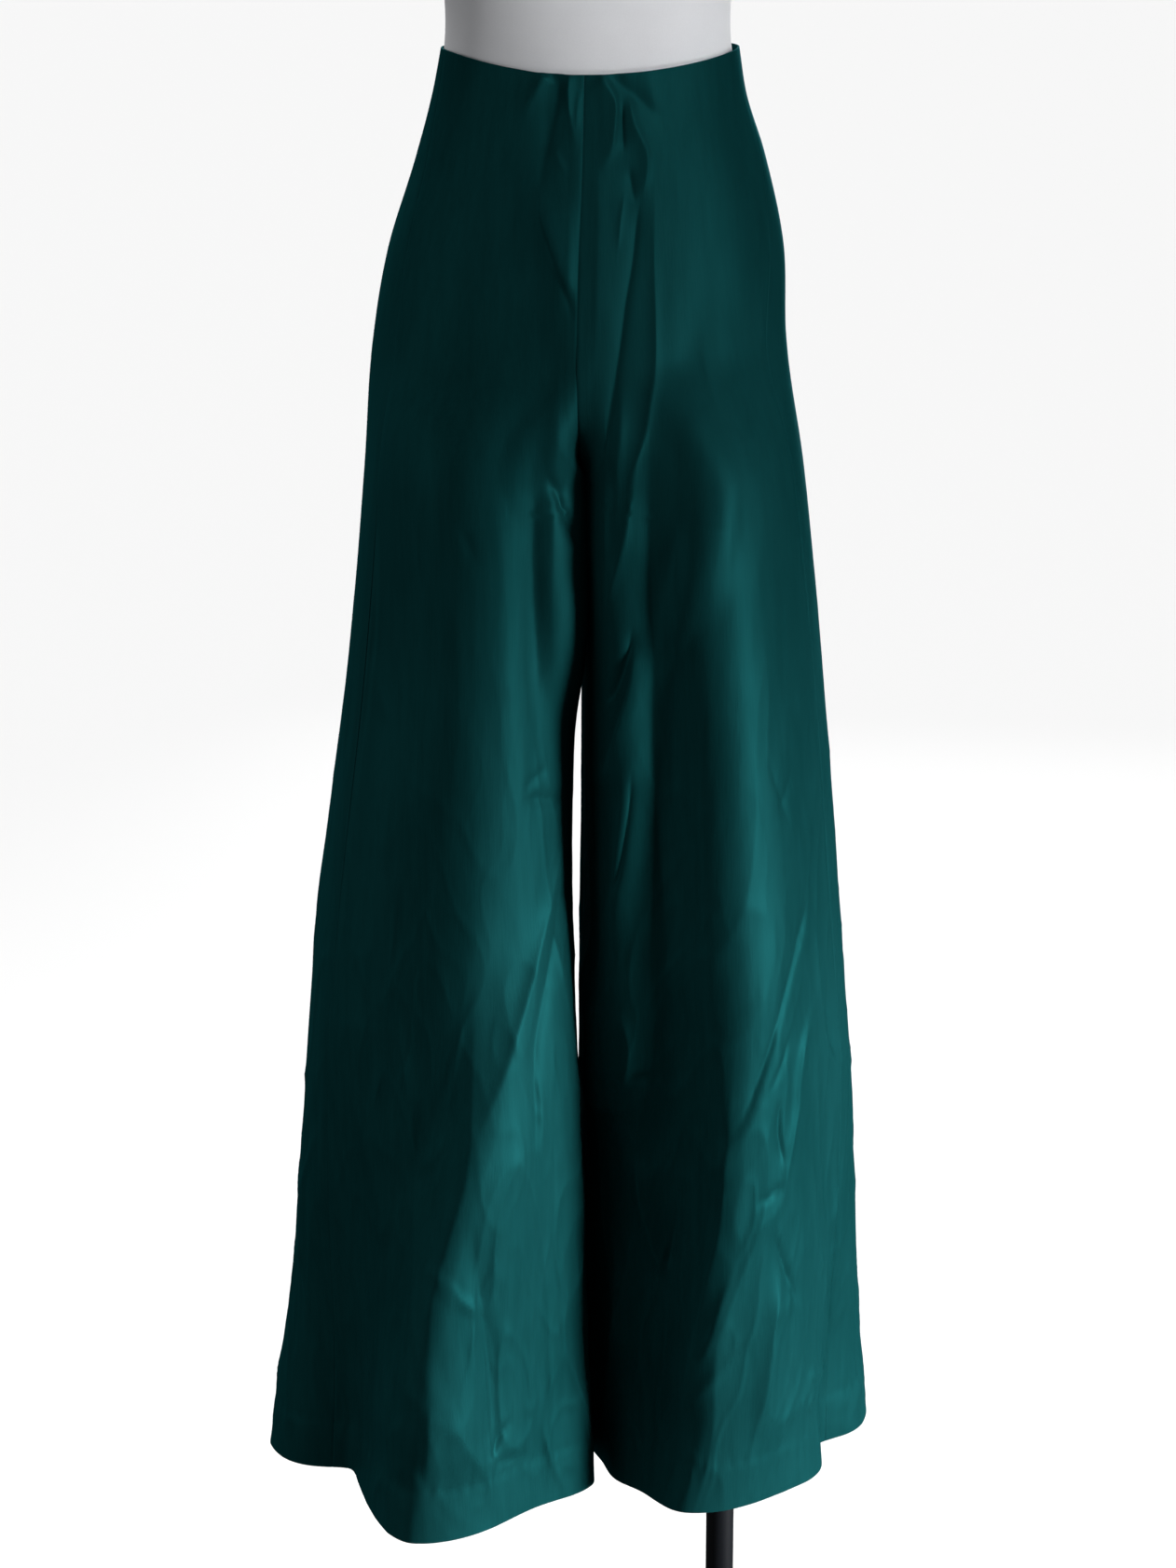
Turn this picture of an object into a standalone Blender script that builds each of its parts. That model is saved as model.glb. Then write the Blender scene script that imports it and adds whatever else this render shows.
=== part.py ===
"""High-waisted wide-leg satin trousers on a limbless dress form with a side pole and a round base.

Metres, +Z up. The origin is on the floor, at the centre of the base. The front faces -Y, so the wearer's
right leg is on -X. Each cloth panel is a thin wall lofted through level rings worked out from the tables.
"""

import math

import bmesh
import bpy
import numpy as np
from mathutils import Matrix

# Cloth
WAIST_HEIGHT = 1.336          # side of the waist above the floor
OUTSEAM = 1.083               # waist to hem at the side
FRONT_DIP = 0.011             # how far the waist edge falls at the centre front
BACK_DIP = 0.002              # and at the centre back
FORK_DROP = 0.205             # where the centre seams start to turn under
CROTCH_DROP = 0.300           # lowest point of the crotch seam
WALL = 0.0012
TURN_UP = 0.040               # depth of the turned-up hem
TURN_UP_WALL = 0.0020         # doubled cloth there
TURN_UP_EDGE = 0.004          # over which the wall thickens
SEAM_GAP = 0.0003
RIGHT_LEG_LEAN = -0.004       # the right leg hangs further forward than the left
LEFT_LEG_LEAN = 0.002
LEAN_LENGTH = 0.25            # drop over which that grows
BACK_SQUARE = 0.4             # how much of the squareness the back of the leg has
SLANT_SOFTNESS = 0.040        # depth over which the slant of the front seam dies away
SEAM_CALM = 22.0              # degrees beside the inside leg over which folds die away

# Rings of the garment. drop is below the waist; right and left are the reach each side of X = 0, front and
# back are the depths from middle, and gap is the air between the legs. seam is the X of the plane between
# the halves, and slant swings its front towards the wearer's right. side is the angle of the side seams in
# degrees round the ring: they lie forward of the side. square is 2 where the inner half of a leg is an oval
# and more where it is squarer, with the legs pressed together.
SECTIONS = [
    dict(drop=0.000, right=0.1035, left=0.1068, front=0.0890, back=0.0835, middle=0.000, gap=0.0003,
         seam=-0.0115, slant=0.000, side=-8, square=2.0),
    dict(drop=0.030, right=0.1093, left=0.1120, front=0.0915, back=0.0865, middle=0.000, gap=0.0003,
         seam=-0.0115, slant=0.010, side=-12, square=2.0),
    dict(drop=0.075, right=0.1215, left=0.1270, front=0.0960, back=0.0980, middle=0.000, gap=0.0003,
         seam=-0.0110, slant=0.030, side=-18, square=2.0),
    dict(drop=0.140, right=0.1420, left=0.1425, front=0.1010, back=0.1140, middle=0.000, gap=0.0003,
         seam=-0.0100, slant=0.070, side=-25, square=2.2),
    dict(drop=0.205, right=0.1530, left=0.1455, front=0.1030, back=0.1210, middle=-0.004, gap=0.0003,
         seam=-0.0085, slant=0.095, side=-28, square=2.4),
    dict(drop=0.300, right=0.1605, left=0.1580, front=0.1000, back=0.1250, middle=-0.012, gap=0.0003,
         seam=-0.0080, slant=0.080, side=-29, square=2.9),
    dict(drop=0.420, right=0.1730, left=0.1718, front=0.0990, back=0.1220, middle=-0.010, gap=0.0040,
         seam=-0.0080, slant=0.060, side=-29, square=2.9),
    dict(drop=0.630, right=0.2015, left=0.1900, front=0.1010, back=0.1190, middle=-0.006, gap=0.0070,
         seam=-0.0110, slant=0.030, side=-29, square=2.6),
    dict(drop=0.850, right=0.2235, left=0.2080, front=0.1030, back=0.1170, middle=-0.003, gap=0.0040,
         seam=-0.0080, slant=0.010, side=-28, square=2.2),
    dict(drop=1.000, right=0.2355, left=0.2180, front=0.1000, back=0.1160, middle=0.000, gap=0.0040,
         seam=-0.0040, slant=0.000, side=-27, square=2.0),
    dict(drop=1.083, right=0.2475, left=0.2270, front=0.0990, back=0.1160, middle=0.000, gap=0.0040,
         seam=-0.0030, slant=0.000, side=-26, square=2.0),
]

# Folds that open towards the hem. Angles run round the ring in degrees: 0 is the side, -90 the front, 90 the
# back, 180 the inside leg. height is the fold's reach at the hem, a trough when negative. before and after
# are its widths in degrees on the sides of smaller and greater angle.
FLARES = [
    dict(leg="right", top=0.58, angles=(-148, -104, -83), height=0.056, before=36, after=15),
    dict(leg="right", top=0.70, angles=(-46, -42, -38), height=-0.046, before=24, after=27),
    dict(leg="right", top=0.60, angles=(-150, -147, -145), height=0.025, before=12, after=20),
    dict(leg="right", top=0.80, angles=(14, 15, 16), height=0.009, before=12, after=18),
    dict(leg="right", top=0.50, angles=(120, 104, 96), height=0.034, before=18, after=30),
    dict(leg="right", top=0.60, angles=(44, 46, 48), height=-0.026, before=22, after=20),
    dict(leg="left", top=0.24, angles=(-98, -84, -110), height=0.040, before=15, after=28),
    dict(leg="left", top=0.74, angles=(-40, -36, -33), height=-0.037, before=19, after=27),
    dict(leg="left", top=0.70, angles=(-144, -141, -138), height=0.015, before=13, after=18),
    dict(leg="left", top=0.80, angles=(14, 18, 22), height=0.011, before=14, after=18),
    dict(leg="left", top=0.50, angles=(82, 96, 104), height=0.031, before=26, after=18),
    dict(leg="left", top=0.62, angles=(50, 48, 46), height=-0.024, before=20, after=22),
]

# Folds that rise and die away between two drops.
DRAGS = [
    dict(leg="right", top=0.26, end=0.60, angles=(-118, -126, -132), height=-0.007, before=12, after=12),
    dict(leg="right", top=0.05, end=0.34, angles=(-76, -79, -120), height=-0.0035, before=7, after=12),
    dict(leg="left", top=0.12, end=0.52, angles=(-66, -84, -152), height=0.0050, before=10, after=8),
    dict(leg="left", top=0.40, end=0.70, angles=(-120, -132, -152), height=0.0050, before=10, after=9),
    dict(leg="left", top=0.08, end=0.36, angles=(-57, -62, -100), height=-0.0040, before=8, after=8),
    dict(leg="right", top=0.14, end=0.48, angles=(84, 96, 130), height=-0.0050, before=10, after=10),
    dict(leg="left", top=0.14, end=0.50, angles=(80, 98, 134), height=-0.0060, before=10, after=10),
]

# Small gathers at the centre front of the waist: distance from the seam at the top and where they end.
GATHERS = [
    dict(leg="right", offset=0.012, spread=0.010, end=0.085, height=0.0034, width=0.0052),
    dict(leg="right", offset=0.033, spread=0.034, end=0.115, height=0.0030, width=0.0075),
    dict(leg="left", offset=0.009, spread=0.010, end=0.080, height=0.0032, width=0.0048),
    dict(leg="left", offset=0.026, spread=0.016, end=0.090, height=0.0036, width=0.0060),
    dict(leg="left", offset=0.041, spread=0.034, end=0.120, height=0.0026, width=0.0075),
]

# The grid of each panel
COLUMNS = {"front": 22, "back": 14}
COLUMN_CROWDING = {"front": 1.30, "back": 1.10}  # above 1 crowds the columns towards the centre seam
UPPER_ROWS = 9
CROTCH_ROWS = 9
CROTCH_CROWDING = 1.7         # crowds their seam ends towards the crotch, where the seam runs level
LEG_ROWS = 23
SIDE_AT_FORK = 0.200          # drop at the side seam of the row that starts at the fork
SIDE_AT_CROTCH = 0.325        # and of the row that starts at the crotch
NORMAL_TURN = 0.002           # radians
NORMAL_DROP = 0.0005
FLARE_GROWTH = 1.2            # power by which a fold grows from its top to the hem
SHARP_ANGLE = 50              # degrees past which an edge is shaded sharp

# Dress form: rise is above the waist; half_width, front and back are the reaches of each oval ring.
FORM_SECTIONS = [
    dict(rise=-0.1900, half_width=0.1270, front=0.0790, back=0.0900),
    dict(rise=-0.1860, half_width=0.1315, front=0.0840, back=0.0960),
    dict(rise=-0.1740, half_width=0.1345, front=0.0885, back=0.1010),
    dict(rise=-0.1400, half_width=0.1320, front=0.0915, back=0.1030),
    dict(rise=-0.1050, half_width=0.1235, front=0.0900, back=0.0975),
    dict(rise=-0.0700, half_width=0.1150, front=0.0885, back=0.0900),
    dict(rise=-0.0450, half_width=0.1110, front=0.0870, back=0.0855),
    dict(rise=-0.0300, half_width=0.1081, front=0.0862, back=0.0832),
    dict(rise=-0.0100, half_width=0.1030, front=0.0845, back=0.0805),
    dict(rise=0.0150, half_width=0.1005, front=0.0830, back=0.0785),
    dict(rise=0.0500, half_width=0.1025, front=0.0845, back=0.0790),
    dict(rise=0.0950, half_width=0.1110, front=0.0930, back=0.0840),
    dict(rise=0.1300, half_width=0.1190, front=0.1010, back=0.0885),
    dict(rise=0.1650, half_width=0.1265, front=0.1080, back=0.0930),
    dict(rise=0.2000, half_width=0.1330, front=0.1105, back=0.0965),
    dict(rise=0.2350, half_width=0.1390, front=0.1080, back=0.0990),
    dict(rise=0.2750, half_width=0.1465, front=0.1000, back=0.0995),
    dict(rise=0.3150, half_width=0.1555, front=0.0895, back=0.0960),
    dict(rise=0.3450, half_width=0.1630, front=0.0790, back=0.0890),
    dict(rise=0.3640, half_width=0.1600, front=0.0715, back=0.0820),
    dict(rise=0.3780, half_width=0.1460, front=0.0660, back=0.0760),
    dict(rise=0.3920, half_width=0.1190, front=0.0610, back=0.0700),
    dict(rise=0.4060, half_width=0.0900, front=0.0570, back=0.0640),
    dict(rise=0.4200, half_width=0.0690, front=0.0540, back=0.0590),
    dict(rise=0.4380, half_width=0.0580, front=0.0515, back=0.0550),
    dict(rise=0.4700, half_width=0.0545, front=0.0500, back=0.0530),
]
FORM_SIDES = 32
CAP_HEIGHT = 0.014
CAP_OVERHANG = 0.003
CAP_BEVEL = 0.003

# Stand
POLE_X = 0.106
POLE_RADIUS = 0.011
FLANGE_RADIUS = 0.017
FLANGE_HEIGHT = 0.006
BASE_RADIUS = 0.165
BASE_SIDES = 48
BASE_HEIGHT = 0.009
SOCKET_RADIUS = 0.018
SOCKET_HEIGHT = 0.030
RIM_BEVEL = 0.0025
ROUND_SIDES = 32
FIT_GAP = 0.0003

# Concealed zip at the centre back: the slider and its pull
SLIDER_DROP = 0.014
SLIDER_SIZE = (0.0052, 0.0014, 0.0090)
EAR_THICKNESS = 0.0008
EAR_GAP = 0.0003
PIN_RADIUS = 0.0005
KNUCKLE_BORE = 0.0008
KNUCKLE_RADIUS = 0.0014
KNUCKLE_LENGTH = 0.0024
PULL_LENGTH = 0.022
PULL_WIDTH = 0.0046
PULL_THICKNESS = 0.0010
PULL_ROOT_SHARE = 0.9         # width of the pull where it leaves the knuckle, of the knuckle's length
EAR_ROOT = 0.0006             # how far the ears are sunk into the slider's face
ZIP_SIDES = 16
TIP_STEPS = 10
WELD_DISTANCE = 0.000001

SATIN_COLOUR = (0.006, 0.085, 0.082, 1.0)
FORM_COLOUR = (0.72, 0.73, 0.76, 1.0)
CAP_COLOUR = (0.60, 0.61, 0.63, 1.0)
STAND_COLOUR = (0.012, 0.013, 0.015, 1.0)
ZIP_COLOUR = (0.02, 0.10, 0.09, 1.0)


def clear_scene():
    for old in list(bpy.data.objects):
        bpy.data.objects.remove(old)


def material(name, colour, roughness, metallic=0.0):
    made = bpy.data.materials.new(name)
    made.use_nodes = True
    shader = made.node_tree.nodes["Principled BSDF"]
    shader.inputs["Base Color"].default_value = colour
    shader.inputs["Roughness"].default_value = roughness
    shader.inputs["Metallic"].default_value = metallic
    made.diffuse_color = colour
    return made


def smooth(share):
    """0 to 1 with level ends."""
    share = np.clip(share, 0.0, 1.0)
    return share * share * (3 - 2 * share)


def read_table(rows, key, column, at):
    """A column of a table at any value of its key, on a smooth curve through the rows."""
    xs = np.array([row[key] for row in rows])
    ys = np.array([row[column] for row in rows])
    slopes = np.gradient(ys, xs)
    at = np.clip(np.asarray(at, float), xs[0], xs[-1])
    i = np.clip(np.searchsorted(xs, at, side="right") - 1, 0, len(xs) - 2)
    step = xs[i + 1] - xs[i]
    t = (at - xs[i]) / step
    start = (2 * t**3 - 3 * t**2 + 1) * ys[i] + (t**3 - 2 * t**2 + t) * step * slopes[i]
    end = (3 * t**2 - 2 * t**3) * ys[i + 1] + (t**3 - t**2) * step * slopes[i + 1]
    return start + end


def seam_x(drop):
    """X of the plane between the two halves, on the axis through the middle."""
    return read_table(SECTIONS, "drop", "seam", drop)


def slant_shift(drop, y):
    """How far the slant carries the front of the garment sideways; it dies away behind the side."""
    return read_table(SECTIONS, "drop", "slant", drop) * (y - np.hypot(y, SLANT_SOFTNESS)) / 2


def squaring(angle, drop):
    """How far the inner half of a ring stands out from the oval, by the angle round it."""
    square = read_table(SECTIONS, "drop", "square", drop)
    square = np.where(angle > 0, 2 + (square - 2) * BACK_SQUARE, square)
    square = np.where(np.cos(angle) < 0, square, 2.0)
    return (np.abs(np.cos(angle)) ** square + np.abs(np.sin(angle)) ** square) ** (-1 / square)


def ring(leg, drop):
    """The oval of one half at a drop: centre and half width away from the seam plane, depths and middle."""
    gap = read_table(SECTIONS, "drop", "gap", drop)
    side = -1 if leg == "right" else 1
    reach = read_table(SECTIONS, "drop", leg, drop) - side * seam_x(drop)
    other = read_table(SECTIONS, "drop", "left" if leg == "right" else "right", drop) + side * seam_x(drop)
    turned = smooth((CROTCH_DROP - drop) / (CROTCH_DROP - FORK_DROP))
    uneven = (reach - other) / (reach + other) * smooth((FORK_DROP - drop) / FORK_DROP)
    share = np.where(turned < 1, 1 - turned, uneven)
    upper_half = reach / (1 + share)
    lower_half = (reach - gap / 2) / 2
    above = drop < CROTCH_DROP
    half = np.where(above, upper_half, lower_half)
    centre = np.where(above, share * upper_half, gap / 2 + lower_half)
    lean = RIGHT_LEG_LEAN if leg == "right" else LEFT_LEG_LEAN
    middle = read_table(SECTIONS, "drop", "middle", drop)
    middle = middle + lean * smooth((drop - CROTCH_DROP) / LEAN_LENGTH)
    front = read_table(SECTIONS, "drop", "front", drop)
    back = read_table(SECTIONS, "drop", "back", drop)
    return centre, half, front, back, middle


def seam_angle(leg, drop, face):
    """How far round the ring a panel reaches before it meets the seam plane or the inside leg."""
    centre, half, front, back, middle = ring(leg, drop)
    crossing = np.clip((centre - SEAM_GAP / 2) / half, -1.0, 1.0)
    square = read_table(SECTIONS, "drop", "square", drop)
    square = 2 + (square - 2) * (BACK_SQUARE if face == "back" else 1.0)
    square = np.where(crossing > 0, square, 2.0)
    size = np.maximum(np.abs(crossing), 1e-6)
    steepness = np.maximum(size**-square - 1, 0.0) ** (1 / square)
    beyond = np.pi / 2 - np.arctan(steepness)
    closed = math.pi - SEAM_GAP / (front + back)
    return np.minimum(np.pi / 2 + np.sign(crossing) * beyond, closed)


def bend(angles, share):
    """An angle that starts, passes halfway and ends at the three given."""
    top, mid, end = angles
    rest = 1 - share
    return top * rest * (rest - share) + mid * 4 * share * rest + end * share * (share - rest)


def bump(angle, fold_angle, before, after):
    off = (angle - fold_angle + 180) % 360 - 180
    return np.exp(-((off / np.where(off < 0, before, after)) ** 2))


def fold_height(leg, angle, drop):
    """How far the folds lift the cloth off its oval."""
    degrees = np.degrees(angle)
    height = np.zeros(np.broadcast(angle, drop).shape)
    for fold in FLARES:
        if fold["leg"] == leg:
            share = np.clip((drop - fold["top"]) / (OUTSEAM - fold["top"]), 0.0, 1.0)
            shape = bump(degrees, bend(fold["angles"], share), fold["before"], fold["after"])
            height = height + fold["height"] * share**FLARE_GROWTH * shape
    for fold in DRAGS:
        if fold["leg"] == leg:
            share = np.clip((drop - fold["top"]) / (fold["end"] - fold["top"]), 0.0, 1.0)
            shape = bump(degrees, bend(fold["angles"], share), fold["before"], fold["after"])
            height = height + fold["height"] * np.sin(math.pi * share) ** 2 * shape
    calm = smooth((180.0 - np.abs(degrees)) / SEAM_CALM)
    below = smooth((drop - FORK_DROP) / (CROTCH_DROP - FORK_DROP))
    return height * (1 - below * (1 - calm))


def gather_height(leg, across, drop):
    """The small gathers either side of the centre front seam, by distance from it."""
    height = np.zeros(np.broadcast(across, drop).shape)
    for fold in GATHERS:
        if fold["leg"] == leg:
            share = np.clip(drop / fold["end"], 0.0, 1.0)
            off = (across - fold["offset"] - fold["spread"] * share) / fold["width"]
            height = height + fold["height"] * np.cos(share * math.pi / 2) ** 2 * np.exp(-(off**2))
    return height


def cloth_surface(leg, angle, drop):
    """Points of the cloth's outer face at angles round the ring and drops below the waist."""
    side = -1 if leg == "right" else 1
    centre, half, front, back, middle = ring(leg, drop)
    depth = np.where(angle < 0, front, back)
    out_x = np.cos(angle) / half
    out_y = np.sin(angle) / depth
    length = np.hypot(out_x, out_y)
    stand_out = squaring(angle, drop)
    across = centre + half * np.cos(angle) * stand_out
    lift = fold_height(leg, angle, drop)
    lift = lift + np.where(angle < 0, gather_height(leg, across, drop), 0.0)
    y = middle + depth * np.sin(angle) * stand_out + lift * out_y / length
    x = seam_x(drop) + slant_shift(drop, y) + side * (across + lift * out_x / length)
    return np.stack(np.broadcast_arrays(x, y, WAIST_HEIGHT - drop), axis=-1)


def cloth_normal(leg, angle, drop):
    """Outward unit normals of that surface, from points a small turn and a small drop apart."""
    turn = NORMAL_TURN
    step = NORMAL_DROP
    round_it = cloth_surface(leg, angle + turn, drop) - cloth_surface(leg, angle - turn, drop)
    down_it = cloth_surface(leg, angle, drop + step) - cloth_surface(leg, angle, drop - step)
    normal = np.cross(down_it, round_it) if leg == "left" else np.cross(round_it, down_it)
    return normal / np.linalg.norm(normal, axis=-1, keepdims=True)


def panel_rows(face):
    """Drops of each row at the centre or inside-leg edge, and at the side seam."""
    dip = FRONT_DIP if face == "front" else BACK_DIP
    hem_line = OUTSEAM - TURN_UP
    even = np.linspace(0, 1, CROTCH_ROWS + 1)[1:]
    turn = 1 - (1 - even) ** CROTCH_CROWDING
    hem = [hem_line + TURN_UP_EDGE, hem_line + TURN_UP / 2, OUTSEAM]
    inner = np.concatenate([
        np.linspace(dip, FORK_DROP, UPPER_ROWS + 1),
        FORK_DROP + (CROTCH_DROP - FORK_DROP) * turn,
        np.linspace(CROTCH_DROP, hem_line, LEG_ROWS + 1)[1:],
        hem,
    ])
    outer = np.concatenate([
        np.linspace(0, SIDE_AT_FORK, UPPER_ROWS + 1),
        SIDE_AT_FORK + (SIDE_AT_CROTCH - SIDE_AT_FORK) * even,
        np.linspace(SIDE_AT_CROTCH, hem_line, LEG_ROWS + 1)[1:],
        hem,
    ])
    return inner, outer


def panel_grid(leg, face):
    """Angles and drops of a panel's points: rows run down from the waist, columns out to the side seam."""
    across = np.linspace(0, 1, COLUMNS[face] + 1) ** COLUMN_CROWDING[face]
    inner, outer = panel_rows(face)
    drop = outer[:, None] + (inner - outer)[:, None] * (1 - smooth(across))[None, :]
    centre, half, front, back, middle = ring(leg, outer)
    half_seam = SEAM_GAP / 2 / np.where(outer < CROTCH_DROP, front, half)
    sign = -1 if face == "front" else 1
    start = sign * seam_angle(leg, inner, face)
    end = np.radians(read_table(SECTIONS, "drop", "side", outer)) + sign * half_seam
    return start[:, None] + (end - start)[:, None] * across[None, :], drop


def loft(rows, closed_round):
    """Quads between neighbouring rows of point numbers."""
    faces = []
    for above, below in zip(rows, rows[1:]):
        count = len(above) if closed_round else len(above) - 1
        for i in range(count):
            j = (i + 1) % len(above)
            faces.append((above[i], above[j], below[j], below[i]))
    return faces


def mesh_object(name, points, faces, look, collection):
    mesh = bpy.data.meshes.new(name)
    mesh.from_pydata([tuple(p) for p in points], [], faces)
    mesh.materials.append(look)
    made = bpy.data.objects.new(name, mesh)
    collection.objects.link(made)
    mesh.shade_smooth()
    mesh.set_sharp_from_angle(angle=math.radians(SHARP_ANGLE))
    return made


def build_panel(leg, face, look, collection):
    """One cut piece: its outer face, the same face moved in by the wall, and edges square to the cloth.

    The edges follow the surface's own normals, so that two panels stay parted all the way through their seam.
    """
    angle, drop = panel_grid(leg, face)
    outer = cloth_surface(leg, angle, drop)
    turn_up = smooth((drop - (OUTSEAM - TURN_UP)) / TURN_UP_EDGE)
    wall = WALL + (TURN_UP_WALL - WALL) * turn_up
    inner = outer - cloth_normal(leg, angle, drop) * wall[..., None]
    inner[..., 2] = np.where(drop >= OUTSEAM, outer[..., 2], inner[..., 2])
    rows, columns = drop.shape
    number = np.arange(2 * rows * columns).reshape(2, rows, columns)
    if (leg == "left") == (face == "front"):
        number = number[:, :, ::-1]
    # Each row runs along the outer face and back along the inner one, which makes it a closed ring.
    rings = np.concatenate([number[0], number[1, :, ::-1]], axis=1).tolist()
    faces = loft(rings, closed_round=True)
    for edge, (near, far) in zip((0, -1), ((1, 0), (0, 1))):
        faces += loft([number[near, edge].tolist(), number[far, edge].tolist()], closed_round=False)
    points = np.concatenate([outer.reshape(-1, 3), inner.reshape(-1, 3)])
    return mesh_object(f"{face}_{leg}", points, faces, look, collection)


def build_form(look, collection):
    """The limbless torso: oval rings from its flat underside to the top of the neck."""
    points = []
    for row in FORM_SECTIONS:
        for i in range(FORM_SIDES):
            angle = 2 * math.pi * i / FORM_SIDES
            depth = row["front"] if math.sin(angle) < 0 else row["back"]
            points.append((row["half_width"] * math.cos(angle), depth * math.sin(angle),
                           WAIST_HEIGHT + row["rise"]))
    rings = [list(range(r * FORM_SIDES, (r + 1) * FORM_SIDES)) for r in range(len(FORM_SECTIONS))]
    faces = loft(rings, closed_round=True) + [tuple(rings[0][::-1]), tuple(rings[-1])]
    return mesh_object("dress_form", points, faces, look, collection)


def turned(name, profile, look, collection, sides=ROUND_SIDES):
    """A profile of (radius, height) points, from the axis at the top to the axis at the bottom, turned."""
    mesh = bpy.data.meshes.new(name)
    edges = [(i, i + 1) for i in range(len(profile) - 1)]
    mesh.from_pydata([(radius, 0.0, height) for radius, height in profile], edges, [])
    mesh.materials.append(look)
    made = bpy.data.objects.new(name, mesh)
    collection.objects.link(made)
    screw = made.modifiers.new("Screw", "SCREW")
    screw.steps = sides
    screw.render_steps = sides
    screw.use_merge_vertices = True
    screw.merge_threshold = 0.00005
    mesh.shade_smooth()
    mesh.set_sharp_from_angle(angle=math.radians(SHARP_ANGLE))
    return made


def build_neck_cap(look, collection):
    """A plain turned cap on the neck."""
    top = FORM_SECTIONS[-1]
    radius = top["half_width"] + CAP_OVERHANG
    made = turned("neck_cap", [
        (0.0, CAP_HEIGHT),
        (radius - CAP_BEVEL * 2, CAP_HEIGHT),
        (radius - CAP_BEVEL * 0.6, CAP_HEIGHT - CAP_BEVEL * 0.6),
        (radius, CAP_HEIGHT - CAP_BEVEL * 2),
        (radius, 0.0),
        (0.0, 0.0),
    ], look, collection)
    made.location.z = WAIST_HEIGHT + top["rise"] + FIT_GAP
    return made


def build_stand(look, collection):
    """Round base with the socket, the pole through the left leg, and the flange under the form."""
    underside = WAIST_HEIGHT + FORM_SECTIONS[0]["rise"]
    turned("base_plate", [
        (0.0, BASE_HEIGHT),
        (BASE_RADIUS - RIM_BEVEL, BASE_HEIGHT),
        (BASE_RADIUS, BASE_HEIGHT - RIM_BEVEL),
        (BASE_RADIUS, 0.0),
        (0.0, 0.0),
    ], look, collection, sides=BASE_SIDES)
    socket_floor = BASE_HEIGHT + FIT_GAP
    bore = POLE_RADIUS + FIT_GAP
    socket = turned("pole_socket", [
        (bore, socket_floor + SOCKET_HEIGHT),
        (SOCKET_RADIUS - RIM_BEVEL, socket_floor + SOCKET_HEIGHT),
        (SOCKET_RADIUS, socket_floor + SOCKET_HEIGHT - RIM_BEVEL),
        (SOCKET_RADIUS, socket_floor),
        (bore, socket_floor),
        (bore, socket_floor + SOCKET_HEIGHT),
    ], look, collection)
    flange = turned("form_flange", [
        (0.0, underside - FIT_GAP),
        (FLANGE_RADIUS, underside - FIT_GAP),
        (FLANGE_RADIUS, underside - FIT_GAP - FLANGE_HEIGHT),
        (0.0, underside - FIT_GAP - FLANGE_HEIGHT),
    ], look, collection)
    pole_top = underside - 2 * FIT_GAP - FLANGE_HEIGHT
    pole = turned("pole", [
        (0.0, pole_top),
        (POLE_RADIUS, pole_top),
        (POLE_RADIUS, socket_floor),
        (0.0, socket_floor),
    ], look, collection)
    for piece in (socket, flange, pole):
        piece.location.x = POLE_X


def add_box(work, size, centre):
    bmesh.ops.create_cube(work, size=1.0, matrix=Matrix.Translation(centre) @ Matrix.Diagonal((*size, 1.0)))


def add_rod(work, radius, length):
    """A solid rod along X, centred on the axis."""
    bmesh.ops.create_cone(work, cap_ends=True, segments=ZIP_SIDES, radius1=radius, radius2=radius,
                          depth=length, matrix=Matrix.Rotation(math.pi / 2, 4, "Y"))


def work_object(name, work, look, collection):
    mesh = bpy.data.meshes.new(name)
    work.to_mesh(mesh)
    work.free()
    mesh.materials.append(look)
    made = bpy.data.objects.new(name, mesh)
    collection.objects.link(made)
    return made


def combine(target, other, operation, cutters):
    """Joins other to target, or cuts it out, and keeps other as a hidden helper."""
    change = target.modifiers.new(operation.title(), "BOOLEAN")
    change.operation = operation
    change.solver = "EXACT"
    change.object = other
    for collection in list(other.users_collection):
        collection.objects.unlink(other)
    cutters.objects.link(other)
    other.hide_render = True
    other.display_type = "WIRE"


def zip_frame():
    """Where the slider sits: origin on the hinge axis, local Y out of the cloth, local Z up the seam."""
    drop = np.array(SLIDER_DROP)
    angle = seam_angle("left", drop, "back")
    point = cloth_surface("left", angle, drop)
    normal = cloth_normal("left", angle, drop)
    slope = math.asin(normal[2])
    turn = math.atan2(-normal[0], normal[1])
    stand_off = FIT_GAP + SLIDER_SIZE[1] + KNUCKLE_RADIUS + EAR_GAP
    place = Matrix.Translation([float(value) for value in point])
    place = place @ Matrix.Rotation(turn, 4, "Z") @ Matrix.Rotation(slope, 4, "X")
    return place @ Matrix.Translation((0.0, stand_off, 0.0))


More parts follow.
